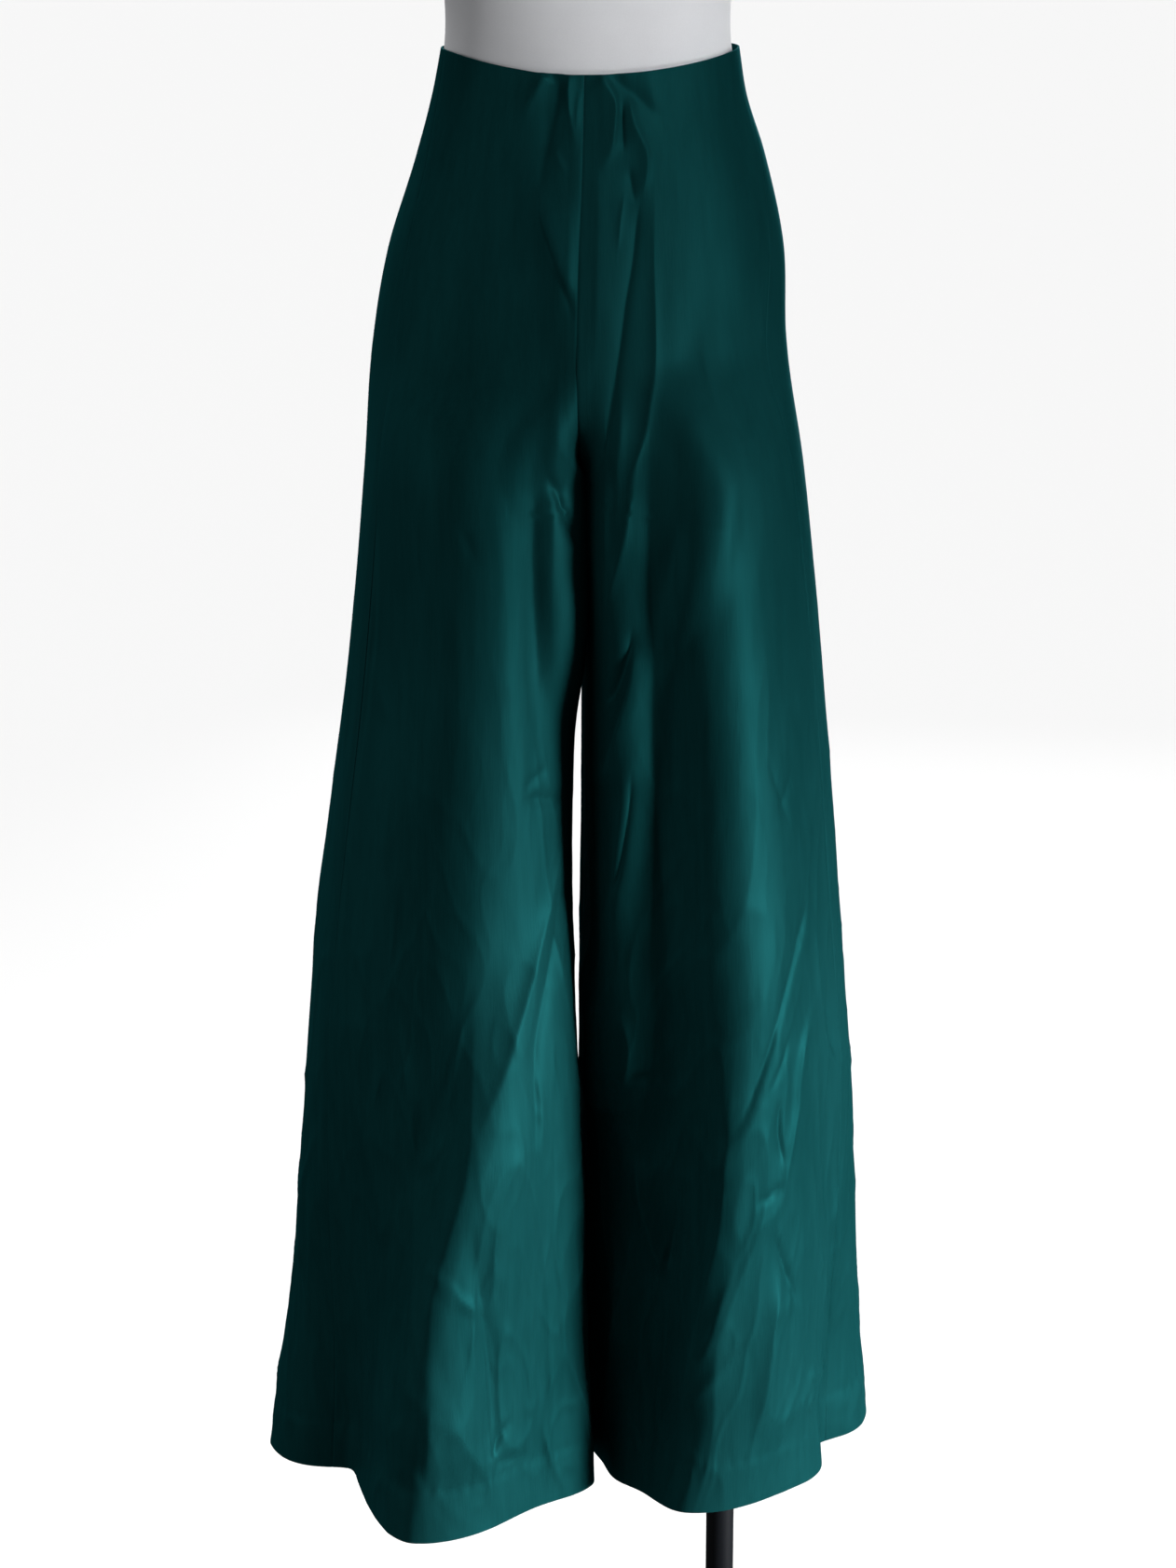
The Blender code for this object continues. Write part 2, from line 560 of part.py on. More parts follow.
def build_zip(look, collection, cutters):
    """The slider on the closed zip and the pull that hangs from it."""
    hinge = bpy.data.objects.new("zip_hinge", None)
    collection.objects.link(hinge)
    hinge.matrix_world = zip_frame()

    body_y = -(KNUCKLE_RADIUS + EAR_GAP + SLIDER_SIZE[1] / 2)
    ear_x = KNUCKLE_LENGTH / 2 + EAR_GAP + EAR_THICKNESS / 2
    ear_depth = KNUCKLE_RADIUS * 2 + EAR_GAP + EAR_ROOT
    slider_work = bmesh.new()
    add_box(slider_work, SLIDER_SIZE, (0.0, body_y, 0.0))
    slider = work_object("zip_slider", slider_work, look, collection)
    for side in (-1, 1):
        ear_work = bmesh.new()
        add_box(ear_work, (EAR_THICKNESS, ear_depth, KNUCKLE_RADIUS * 2),
                (side * ear_x, KNUCKLE_RADIUS - ear_depth / 2, 0.0))
        ear = work_object(f"ear_{side}", ear_work, look, collection)
        ear.parent = hinge
        combine(slider, ear, "UNION", cutters)
    pin_work = bmesh.new()
    add_rod(pin_work, PIN_RADIUS, 2 * ear_x)
    pin = work_object("pin", pin_work, look, collection)
    combine(slider, pin, "UNION", cutters)

    pull_work = bmesh.new()
    add_rod(pull_work, KNUCKLE_RADIUS, KNUCKLE_LENGTH)
    pull = work_object("zip_pull", pull_work, look, collection)
    tab = bpy.data.curves.new("tab", "CURVE")
    tab.dimensions = "2D"
    tab.fill_mode = "BOTH"
    tab.extrude = PULL_THICKNESS / 2
    outline = tab.splines.new("POLY")
    tip_radius = PULL_WIDTH / 2
    tip_z = tip_radius - PULL_LENGTH
    root_x = KNUCKLE_LENGTH / 2 * PULL_ROOT_SHARE
    root_z = -(KNUCKLE_BORE + KNUCKLE_RADIUS) / 2
    corners = [(-root_x, root_z), (root_x, root_z)]
    for i in range(TIP_STEPS + 1):
        turn = -math.pi * i / TIP_STEPS
        corners.append((tip_radius * math.cos(turn), tip_z + tip_radius * math.sin(turn)))
    outline.points.add(len(corners) - 1)
    for point, (x, z) in zip(outline.points, corners):
        point.co = (x, z, 0.0, 1.0)
    outline.use_cyclic_u = True
    tab_curve = bpy.data.objects.new("tab_curve", tab)
    collection.objects.link(tab_curve)
    bpy.context.view_layer.update()
    tab_mesh = bpy.data.meshes.new_from_object(tab_curve.evaluated_get(bpy.context.evaluated_depsgraph_get()))
    bpy.data.objects.remove(tab_curve)
    tab_mesh.transform(Matrix.Rotation(math.pi / 2, 4, "X"))
    tab_work = bmesh.new()
    tab_work.from_mesh(tab_mesh)
    bmesh.ops.remove_doubles(tab_work, verts=tab_work.verts, dist=WELD_DISTANCE)
    tab_piece = work_object("tab", tab_work, look, collection)
    combine(pull, tab_piece, "UNION", cutters)
    bore_work = bmesh.new()
    add_rod(bore_work, KNUCKLE_BORE, KNUCKLE_LENGTH * 2)
    bore = work_object("bore", bore_work, look, collection)
    combine(pull, bore, "DIFFERENCE", cutters)
    for piece in (slider, pin, pull, tab_piece, bore):
        piece.parent = hinge


def main():
    clear_scene()
    garment = bpy.data.collections.new("trousers_on_dress_form")
    cutters = bpy.data.collections.new("cutters")
    for collection in (garment, cutters):
        bpy.context.scene.collection.children.link(collection)
    satin = material("satin", SATIN_COLOUR, 0.38)
    form_cover = material("form_cover", FORM_COLOUR, 0.75)
    cap_look = material("neck_cap", CAP_COLOUR, 0.5)
    stand_look = material("stand", STAND_COLOUR, 0.45, 0.6)
    zip_look = material("zip", ZIP_COLOUR, 0.35, 0.7)
    for leg in ("right", "left"):
        for face in ("front", "back"):
            build_panel(leg, face, satin, garment)
    build_form(form_cover, garment)
    build_neck_cap(cap_look, garment)
    build_stand(stand_look, garment)
    build_zip(zip_look, garment, cutters)


main()
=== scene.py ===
import math
import bmesh
import bpy
import numpy as np
from mathutils import Matrix, Vector, noise


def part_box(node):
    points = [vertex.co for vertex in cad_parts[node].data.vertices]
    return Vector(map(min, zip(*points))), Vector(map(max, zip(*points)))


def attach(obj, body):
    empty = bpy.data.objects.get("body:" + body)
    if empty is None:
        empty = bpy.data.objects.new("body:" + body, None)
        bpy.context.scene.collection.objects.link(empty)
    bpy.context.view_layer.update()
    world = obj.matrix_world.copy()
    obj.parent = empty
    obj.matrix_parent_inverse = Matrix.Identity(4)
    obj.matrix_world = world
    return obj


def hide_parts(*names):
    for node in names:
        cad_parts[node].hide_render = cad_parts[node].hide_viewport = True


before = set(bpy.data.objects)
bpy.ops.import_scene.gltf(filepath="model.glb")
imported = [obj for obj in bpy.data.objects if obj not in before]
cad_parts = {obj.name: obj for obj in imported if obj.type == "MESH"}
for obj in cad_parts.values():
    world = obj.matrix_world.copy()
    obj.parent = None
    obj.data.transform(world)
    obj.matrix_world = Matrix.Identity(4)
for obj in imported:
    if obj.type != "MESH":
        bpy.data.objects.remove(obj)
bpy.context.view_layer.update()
clothBody = "trousers_on_form"
millimetre = 0.001

# The cut: the same sizes and tables as the solids, in metres, but for the gap between the legs, which opens
# up to 5 mm more. Drops run down from the side of the waist.
cut = {
    "waistHeight": 1.336,
    "outseam": 1.083,
    "frontDip": 0.011,
    "backDip": 0.002,
    "fork": 0.205,
    "crotch": 0.300,
    "seamGap": 0.00004,
    "turnUp": 0.040,
    "lean": {"right": -0.004, "left": 0.002},
    "leanLength": 0.25,
    "slantSoftness": 0.040,
    "backSquare": 0.4,
    "seamCalm": 22.0,
    "sideAtFork": 0.200,
    "sideAtCrotch": 0.325,
    "flareGrowth": 1.2,
    "partLength": 0.030,
}
ringColumns = ("drop", "right", "left", "front", "back", "middle", "gap", "seam", "slant", "side", "square")
rings = [
    (0.000, 0.1035, 0.1068, 0.0890, 0.0835, 0.000, 0.0003, -0.0115, 0.000, -8, 2.0),
    (0.030, 0.1093, 0.1120, 0.0915, 0.0865, 0.000, 0.0003, -0.0115, 0.010, -12, 2.0),
    (0.075, 0.1215, 0.1270, 0.0960, 0.0980, 0.000, 0.0003, -0.0110, 0.030, -18, 2.0),
    (0.140, 0.1420, 0.1425, 0.1010, 0.1140, 0.000, 0.0003, -0.0100, 0.070, -25, 2.2),
    (0.205, 0.1530, 0.1455, 0.1030, 0.1210, -0.004, 0.0003, -0.0085, 0.095, -28, 2.4),
    (0.300, 0.1605, 0.1580, 0.1000, 0.1250, -0.012, 0.0003, -0.0080, 0.080, -29, 2.9),
    (0.420, 0.1730, 0.1718, 0.0990, 0.1220, -0.010, 0.0060, -0.0070, 0.060, -29, 2.9),
    (0.630, 0.2015, 0.1900, 0.1010, 0.1190, -0.006, 0.0120, -0.0092, 0.030, -29, 2.6),
    (0.850, 0.2235, 0.2080, 0.1030, 0.1170, -0.003, 0.0050, -0.0076, 0.010, -28, 2.2),
    (1.000, 0.2355, 0.2180, 0.1000, 0.1160, 0.000, 0.0040, -0.0040, 0.000, -27, 2.0),
    (1.083, 0.2475, 0.2270, 0.0990, 0.1160, 0.000, 0.0040, -0.0030, 0.000, -26, 2.0),
]
# Folds that open towards the hem: leg, top drop, angles at top, middle and hem, height, and the widths before
# and after it
flares = [
    ("right", 0.58, (-148, -97, -83), 0.056, 36, 15),
    ("right", 0.70, (-46, -42, -38), -0.046, 24, 27),
    ("right", 0.60, (-150, -147, -145), 0.025, 12, 20),
    ("right", 0.80, (14, 15, 16), 0.009, 12, 18),
    ("right", 0.50, (120, 104, 96), 0.034, 18, 30),
    ("right", 0.60, (44, 46, 48), -0.026, 22, 20),
    ("left", 0.24, (-98, -84, -110), 0.040, 15, 28),
    ("left", 0.74, (-40, -36, -33), -0.037, 19, 27),
    ("left", 0.70, (-144, -141, -138), 0.015, 13, 18),
    ("left", 0.80, (14, 18, 22), 0.011, 14, 18),
    ("left", 0.50, (82, 96, 104), 0.031, 26, 18),
    ("left", 0.62, (50, 48, 46), -0.024, 20, 22),
]
# Folds that rise and die away: leg, top and end drops, angles, height, widths before and after
drags = [
    ("right", 0.26, 0.60, (-118, -126, -132), -0.007, 12, 12),
    ("right", 0.05, 0.34, (-76, -79, -120), -0.0035, 7, 12),
    ("left", 0.12, 0.52, (-66, -84, -152), 0.0050, 10, 8),
    ("left", 0.40, 0.70, (-120, -132, -152), 0.0050, 10, 9),
    ("left", 0.08, 0.36, (-57, -62, -100), -0.0040, 8, 8),
    ("right", 0.14, 0.48, (84, 96, 130), -0.0050, 10, 10),
    ("left", 0.14, 0.50, (80, 98, 134), -0.0060, 10, 10),
]
# Gathers beside the centre front: leg, distance from the seam, spread, end drop, height, width
gathers = [
    ("right", 0.012, 0.010, 0.085, 0.0006, 0.0052),
    ("right", 0.033, 0.034, 0.115, 0.0008, 0.0075),
    ("left", 0.009, 0.010, 0.080, 0.0006, 0.0048),
    ("left", 0.026, 0.016, 0.090, 0.0008, 0.0060),
    ("left", 0.041, 0.034, 0.120, 0.0008, 0.0075),
]


def smooth(share):
    share = np.clip(share, 0.0, 1.0)
    return share * share * (3 - 2 * share)


def readTable(rows, columns, wanted, at):
    # a column of a table at any value of its first one, on a smooth curve through the rows
    table = np.array(rows)
    xs = table[:, 0]
    ys = table[:, columns.index(wanted)]
    slopes = np.gradient(ys, xs)
    at = np.clip(np.asarray(at, float), xs[0], xs[-1])
    i = np.clip(np.searchsorted(xs, at, side="right") - 1, 0, len(xs) - 2)
    step = xs[i + 1] - xs[i]
    t = (at - xs[i]) / step
    start = (2 * t**3 - 3 * t**2 + 1) * ys[i] + (t**3 - 2 * t**2 + t) * step * slopes[i]
    end = (3 * t**2 - 2 * t**3) * ys[i + 1] + (t**3 - t**2) * step * slopes[i + 1]
    return start + end


def ringValue(wanted, drop):
    return readTable(rings, ringColumns, wanted, drop)


def ovalOf(leg, drop):
    # centre and half width away from the seam plane, front and back depths, and the middle they start from
    side = -1 if leg == "right" else 1
    gap = ringValue("gap", drop) * smooth((drop - cut["crotch"]) / cut["partLength"])
    seam = ringValue("seam", drop)
    reach = ringValue(leg, drop) - side * seam
    other = ringValue("left" if leg == "right" else "right", drop) + side * seam
    turned = smooth((cut["crotch"] - drop) / (cut["crotch"] - cut["fork"]))
    uneven = (reach - other) / (reach + other) * smooth((cut["fork"] - drop) / cut["fork"])
    share = np.where(turned < 1, 1 - turned, uneven)
    above = drop < cut["crotch"]
    half = np.where(above, reach / (1 + share), (reach - gap / 2) / 2)
    centre = np.where(above, share * reach / (1 + share), gap / 2 + (reach - gap / 2) / 2)
    middle = ringValue("middle", drop)
    middle = middle + cut["lean"][leg] * smooth((drop - cut["crotch"]) / cut["leanLength"])
    return centre, half, ringValue("front", drop), ringValue("back", drop), middle


def squaring(angle, drop):
    # how far the inner half of a ring stands out from the oval
    square = ringValue("square", drop)
    square = np.where(angle > 0, 2 + (square - 2) * cut["backSquare"], square)
    square = np.where(np.cos(angle) < 0, square, 2.0)
    return (np.abs(np.cos(angle)) ** square + np.abs(np.sin(angle)) ** square) ** (-1 / square)


def seamAngle(leg, drop, face):
    # how far round the ring a panel reaches before it meets the seam plane or the inside leg
    centre, half, front, back, middle = ovalOf(leg, drop)
    crossing = np.clip((centre - cut["seamGap"] / 2) / half, -1.0, 1.0)
    square = 2 + (ringValue("square", drop) - 2) * (cut["backSquare"] if face == "back" else 1.0)
    square = np.where(crossing > 0, square, 2.0)
    steepness = np.maximum(np.maximum(np.abs(crossing), 1e-6) ** -square - 1, 0.0) ** (1 / square)
    beyond = np.sign(crossing) * (np.pi / 2 - np.arctan(steepness))
    return np.minimum(np.pi / 2 + beyond, math.pi - cut["seamGap"] / (front + back))


def bend(angles, share):
    top, mid, end = angles
    rest = 1 - share
    return top * rest * (rest - share) + mid * 4 * share * rest + end * share * (share - rest)


def bump(angle, foldAngle, before, after):
    off = (angle - foldAngle + 180) % 360 - 180
    return np.exp(-((off / np.where(off < 0, before, after)) ** 2))


def foldHeight(leg, angle, drop):
    degrees = np.degrees(angle)
    height = np.zeros(np.broadcast(angle, drop).shape)
    for foldLeg, top, angles, tall, before, after in flares:
        if foldLeg == leg:
            share = np.clip((drop - top) / (cut["outseam"] - top), 0.0, 1.0)
            shape = bump(degrees, bend(angles, share), before, after)
            height = height + tall * share ** cut["flareGrowth"] * shape
    for foldLeg, top, end, angles, tall, before, after in drags:
        if foldLeg == leg:
            share = np.clip((drop - top) / (end - top), 0.0, 1.0)
            shape = bump(degrees, bend(angles, share), before, after)
            height = height + tall * np.sin(math.pi * share) ** 2 * shape
    calm = smooth((180.0 - np.abs(degrees)) / cut["seamCalm"])
    below = smooth((drop - cut["fork"]) / (cut["crotch"] - cut["fork"]))
    return height * (1 - below * (1 - calm))


def gatherHeight(leg, across, drop):
    height = np.zeros(np.broadcast(across, drop).shape)
    for foldLeg, offset, spread, end, tall, width in gathers:
        if foldLeg == leg:
            share = np.clip(drop / end, 0.0, 1.0)
            off = (across - offset - spread * share) / width
            height = height + tall * np.cos(share * math.pi / 2) ** 2 * np.exp(-(off**2))
    return height


def clothSurface(leg, angle, drop):
    side = -1 if leg == "right" else 1
    centre, half, front, back, middle = ovalOf(leg, drop)
    depth = np.where(angle < 0, front, back)
    outX = np.cos(angle) / half
    outY = np.sin(angle) / depth
    length = np.hypot(outX, outY)
    standOut = squaring(angle, drop)
    across = centre + half * np.cos(angle) * standOut
    lift = foldHeight(leg, angle, drop) + np.where(angle < 0, gatherHeight(leg, across, drop), 0.0)
    y = middle + depth * np.sin(angle) * standOut + lift * outY / length
    slant = ringValue("slant", drop) * (y - np.hypot(y, cut["slantSoftness"])) / 2
    x = ringValue("seam", drop) + slant + side * (across + lift * outX / length)
    return np.stack(np.broadcast_arrays(x, y, cut["waistHeight"] - drop), axis=-1)


# Creases listed in millimetres: route as (x, drop) points, height (a trough when negative), widths
# towards -x and +x; then the edge, where 2 is round and 1 a knife edge, and the shares of the length over
# which each end fades
creaseColumns = ("route", "height", "minus", "plus", "edge", "fadeIn", "fadeOut")
creaseReach = 3.5        # widths over which a crease is worked out
creases = {
    ("right", "front"): [
        # gathers beside the centre front
        ([(-38, 10), (-43, 21), (-49, 32), (-54, 44), (-64, 60)], 6.2, 6, 8.5, 1.3, 0.06, 0.7),
        ([(-29, 11), (-31, 26), (-35, 44), (-40, 68), (-46, 100)], -4.2, 8, 4.6, 1.4, 0.1, 0.4),
        ([(-22, 11), (-23, 22), (-22, 40), (-17, 62)], 3.6, 3.6, 3.6, 1.3, 0.1, 0.5),
        ([(-14, 20), (-16.5, 36), (-17, 52)], 2.2, 2.2, 2.2, 1.3, 0.3, 0.5),
        ([(-33, 60), (-30, 68), (-24, 77)], 1.1, 1.8, 1.8, 1.3, 0.3, 0.3),
        ([(-43, 78), (-42, 105), (-35, 127), (-28, 148), (-20, 172)], 4.6, 6, 17, 1.4, 0.35, 0.3),
        ([(-46, 92), (-44, 107), (-38, 127), (-32, 145), (-24, 165), (-18, 182)],
         -2, 3, 2.6, 1.3, 0.25, 0.25),
        # the pull from the crotch down the thigh
        ([(-31, 195), (-31, 225), (-34, 262), (-36, 300), (-37, 346), (-36, 402), (-35, 485)],
         3, 8, 14, 1.5, 0.45, 0.3),
        ([(-47, 240), (-49, 300), (-50, 346), (-48, 400), (-46, 470)], -3.4, 12, 7, 1.6, 0.4, 0.4),
        ([(-41, 280), (-33, 301), (-25, 321), (-16, 341)], -3.6, 4, 4, 1.25, 0.25, 0.25),
        ([(-103, 315), (-88, 350)], -1, 3.5, 4.5, 1.5, 0.4, 0.5),
        ([(-62, 517), (-50, 508), (-37, 502)], -1.2, 4, 3, 1.5, 0.4, 0.4),
        ([(-62, 519), (-40, 527), (-23, 531)], -2, 3.6, 4.5, 1.4, 0.3, 0.3),
        ([(-172, 400), (-164, 440), (-154, 478)], 0.8, 6, 5, 1.5, 0.4, 0.4),
        # the front edge of the leg, from the thigh to the hem
        ([(-66, 200), (-80, 255), (-88, 302), (-91, 370), (-94, 478), (-95, 580), (-95, 676), (-95, 740),
          (-101, 800), (-112, 840), (-121, 873), (-127, 899), (-131, 944), (-133, 985), (-137, 1045)],
         7.8, 45, 42, 1.6, 0.12, 0.06),
        ([(-128, 230), (-140, 380), (-146, 550), (-150, 700), (-152, 800)], -9, 36, 34, 2.0, 0.35, 0.3),
        ([(-95, 640), (-95, 700), (-96, 760), (-101, 800), (-112, 840), (-121, 873), (-127, 899),
          (-131, 944), (-133, 985), (-137, 1045)], 5.8, 14, 38, 1.1, 0.35, 0.06),
        # the crease that runs into it from the inside of the knee
        ([(-23, 541), (-37, 600), (-46, 633), (-56, 668), (-66, 698), (-75, 725), (-87, 756), (-98, 785)],
         3, 5, 12, 1.15, 0.15, 0.3),
        ([(-34, 580), (-33, 605), (-35, 632), (-44, 672), (-52, 715), (-52, 770), (-56, 845)],
         -2.6, 8, 5, 1.3, 0.2, 0.3),
        ([(-103, 829), (-99, 863), (-95, 899), (-91, 929), (-88, 975), (-87, 1032)],
         -5, 11, 11, 1.3, 0.3, 0.1),
        ([(-93, 925), (-91, 974), (-87, 1029)], 1.4, 3.4, 3, 1.3, 0.3, 0.2),
        ([(-87, 1029), (-81, 1012), (-70, 998)], -2.4, 3, 3, 1.2, 0.2, 0.5),
        ([(-87, 1032), (-74, 1033), (-52, 1040)], -1.6, 3, 3, 1.3, 0.2, 0.5),
        ([(-26, 900), (-30, 960), (-28, 1020)], 1.2, 6, 5, 1.5, 0.4, 0.4),
        ([(-60, 880), (-64, 930), (-60, 990)], -1.2, 5, 6, 1.5, 0.4, 0.4),
    ],
    ("left", "front"): [
        # gathers beside the centre front
        ([(-4, 50), (-3.5, 90), (-4, 130), (-5, 170), (-7, 215)], 1.6, 5, 12, 1.5, 0.3, 0.3),
        ([(-2, 11), (4, 19), (9, 29), (8, 48), (5, 63), (-3, 77)], 3.6, 8.5, 3, 1.25, 0.06, 0.3),
        ([(18, 22), (22, 44), (30, 61), (30.5, 76), (27, 97)], 2.7, 5.2, 3.6, 1.25, 0.15, 0.3),
        ([(14, 28), (14, 45), (15, 64)], -1.8, 2.2, 1.8, 1.25, 0.3, 0.3),
        ([(18, 72), (23, 98)], -2, 3.4, 3, 1.3, 0.4, 0.4),
        ([(7, 10), (20, 23), (38, 38), (62, 57)], -2, 6, 5, 1.5, 0.2, 0.6),
        ([(16, 85), (12, 110), (10, 135)], 1, 2.2, 2.2, 1.3, 0.4, 0.4),
        # the two long pulls from there into the crotch
        ([(27, 90), (24, 112), (21, 139), (16, 166), (13, 188), (8, 220), (2, 252), (-1, 281), (-3, 311)],
         -2, 6, 3, 1.2, 0.15, 0.2),
        ([(37, 66), (36, 100), (35.5, 140), (36, 180), (35, 214), (32, 233), (28, 256), (21, 279),
          (17, 310), (11, 341), (3, 372), (-4, 403)], 1.9, 3.4, 4.2, 1.25, 0.3, 0.15),
        ([(13, 212), (11, 250), (8, 290), (5, 325)], 1.6, 4, 5, 1.6, 0.4, 0.4),
        # short folds stacked at the inside of the thigh
        ([(20, 392), (18, 412), (13, 431), (7, 447), (0, 460)], -3.6, 3.4, 6, 1.2, 0.25, 0.25),
        ([(21, 402), (20, 430), (15, 455), (10, 477), (5, 501), (-1, 525)], 5, 5, 10, 1.2, 0.15, 0.2),
        ([(20, 500), (19, 528), (15, 556), (10, 585), (4, 606)], -2.8, 3, 4, 1.2, 0.2, 0.4),
        # the sharp valley beside the thigh and the broad round of the thigh
        ([(31, 234), (31, 279), (32, 345), (35, 414), (37, 484), (41, 554), (46, 625), (50, 690)],
         -4, 12, 8, 1.4, 0.3, 0.3),
        ([(62, 110), (64, 165), (66, 215), (70, 300), (73, 364), (76, 422), (81, 482), (84, 552), (86, 623),
          (89, 694), (91, 770), (88, 850)], 13.5, 26, 44, 2.0, 0.42, 0.25),
        ([(67, 190), (73, 222), (82, 255)], 0.7, 4, 6, 1.5, 0.4, 0.5),
        ([(112, 485), (118, 507), (128, 533), (137, 556)], -1, 3.4, 3.6, 1.4, 0.4, 0.4),
        ([(138, 503), (130, 524), (118, 545)], -0.9, 3.4, 3.4, 1.4, 0.4, 0.4),
        # the inside of the shin
        ([(-1, 630), (-1, 707), (0, 752), (3, 785)], 5, 7, 14, 1.25, 0.3, 0.12),
        ([(18, 748), (30, 742), (46, 746)], -3.6, 3.4, 4, 1.25, 0.4, 0.4),
        ([(25, 800), (32, 845), (41, 882), (50, 905)], 6, 6, 9, 1.2, 0.3, 0.3),
        ([(59, 835), (54, 870), (50, 899)], -3.4, 4.4, 4, 1.25, 0.4, 0.3),
        ([(10, 860), (14, 930), (12, 1000)], 3, 6, 6, 1.3, 0.4, 0.3),
        ([(14, 690), (21, 720), (18, 756)], 2.2, 4, 5, 1.3, 0.3, 0.3),
        ([(36, 930), (33, 975), (36, 1020)], 2.2, 5, 6, 1.4, 0.4, 0.4),
        # the front edge of the leg from the knee to the hem, and the crease that runs into it
        ([(97, 690), (94, 745), (92, 790), (89, 830), (86, 860), (80, 891), (74, 930), (69, 962), (64, 993),
          (59, 1035)], 9.8, 20, 20, 1.12, 0.3, 0.2),
        ([(153, 608), (145, 632), (136, 657), (125, 690), (115, 723), (103, 757), (95, 778)],
         -2.8, 5.6, 3, 1.15, 0.2, 0.25),
        ([(134, 704), (129, 726), (116, 750)], -1.6, 2.6, 2.2, 1.2, 0.3, 0.4),
        # handling creases on the lit side of the shin
        ([(165, 677), (150, 712), (145, 738), (143, 766), (140, 782), (135, 811), (128, 855)],
         3.2, 3.6, 8, 1.2, 0.25, 0.3),
        ([(128, 750), (127, 780), (134, 810)], -2, 3.2, 2.8, 1.2, 0.3, 0.3),
        ([(133, 820), (121, 827), (108, 834)], -1.8, 3, 3, 1.3, 0.4, 0.4),
        ([(123, 852), (134, 886), (143, 916), (149, 955)], -3, 5, 3.4, 1.2, 0.3, 0.4),
        ([(188, 820), (183, 876), (178, 923), (168, 965)], 3.2, 4.6, 6, 1.25, 0.35, 0.35),
        ([(173, 680), (175, 717), (187, 765)], -2, 3.6, 4, 1.3, 0.4, 0.4),
        ([(133, 876), (126, 933), (120, 986), (115, 1035)], 3.6, 8, 8, 1.4, 0.3, 0.3),
        ([(97, 870), (87, 912), (82, 935), (73, 960)], 2.6, 3.6, 5, 1.2, 0.3, 0.3),
        ([(166, 1000), (162, 1014), (160, 1030)], 2, 2.4, 2.6, 1.2, 0.3, 0.4),
        ([(180, 1000), (168, 1013), (160, 1028)], 2, 2.4, 2.6, 1.2, 0.3, 0.4),
        ([(158, 990), (172, 1002), (205, 1020)], 2.4, 4.4, 4.4, 1.4, 0.3, 0.4),
    ],
    ("right", "back"): [
        # pulls under the seat
        ([(-30, 50), (-37, 100), (-42, 155)], -1, 6, 6, 1.6, 0.3, 0.5),
        ([(-22, 165), (-36, 210), (-58, 248)], 1.6, 6, 9, 1.4, 0.3, 0.4),
        ([(-20, 212), (-36, 258), (-62, 300)], -2, 5, 6, 1.4, 0.3, 0.4),
        ([(-20, 255), (-28, 320), (-35, 390), (-38, 480)], 2.8, 10, 8, 1.4, 0.3, 0.4),
        # the back edge of the leg
        ([(-84, 220), (-94, 330), (-100, 450), (-104, 580), (-109, 720)], 7, 40, 34, 1.25, 0.3, 0.3),
        ([(-105, 640), (-110, 760), (-117, 870), (-122, 960), (-126, 1045)], 7.5, 22, 28, 1.15, 0.3, 0.08),
        ([(-165, 545), (-153, 630), (-139, 715), (-124, 790)], 2, 7, 6, 1.25, 0.3, 0.3),
        # folds of the shin
        ([(-50, 600), (-57, 700), (-52, 800), (-59, 900)], -3, 9, 7, 1.4, 0.3, 0.3),
        ([(-172, 790), (-178, 880), (-171, 965)], -2, 7, 6, 1.4, 0.3, 0.3),
        ([(-74, 870), (-81, 950), (-77, 1025)], 1.8, 6, 6, 1.4, 0.3, 0.3),
        ([(-152, 915), (-146, 985), (-151, 1045)], 1.6, 5, 6, 1.4, 0.3, 0.3),
        ([(-20, 640), (-26, 730), (-22, 840)], 2.2, 7, 7, 1.5, 0.3, 0.3),
    ],
    ("left", "back"): [
        # pulls under the seat
        ([(12, 60), (20, 115), (31, 170)], -1.1, 6, 6, 1.6, 0.3, 0.5),
        ([(6, 178), (20, 222), (46, 262)], 1.8, 9, 6, 1.4, 0.3, 0.4),
        ([(4, 230), (22, 272), (44, 318)], -1.8, 6, 5, 1.4, 0.3, 0.4),
        ([(6, 270), (14, 340), (17, 420), (13, 500)], 3, 8, 10, 1.4, 0.3, 0.4),
        # the back edge of the leg
        ([(66, 240), (76, 340), (82, 460), (86, 600), (83, 740)], 6.5, 36, 40, 1.25, 0.3, 0.3),
        ([(86, 620), (82, 740), (73, 850), (66, 950), (60, 1045)], 8, 26, 22, 1.15, 0.3, 0.08),
        ([(148, 580), (134, 660), (117, 735), (97, 800)], 2, 6, 7, 1.25, 0.3, 0.3),
        # folds of the shin
        ([(30, 580), (36, 680), (31, 790), (34, 880)], -2.8, 7, 9, 1.4, 0.3, 0.3),
        ([(150, 800), (143, 890), (149, 970)], -2.2, 6, 7, 1.4, 0.3, 0.3),
        ([(112, 860), (106, 940), (110, 1030)], 1.9, 6, 6, 1.4, 0.3, 0.3),
        ([(180, 900), (172, 975), (176, 1040)], 1.6, 6, 5, 1.4, 0.3, 0.3),
        ([(10, 660), (4, 750), (7, 850)], 2.2, 7, 7, 1.5, 0.3, 0.3),
    ],
}

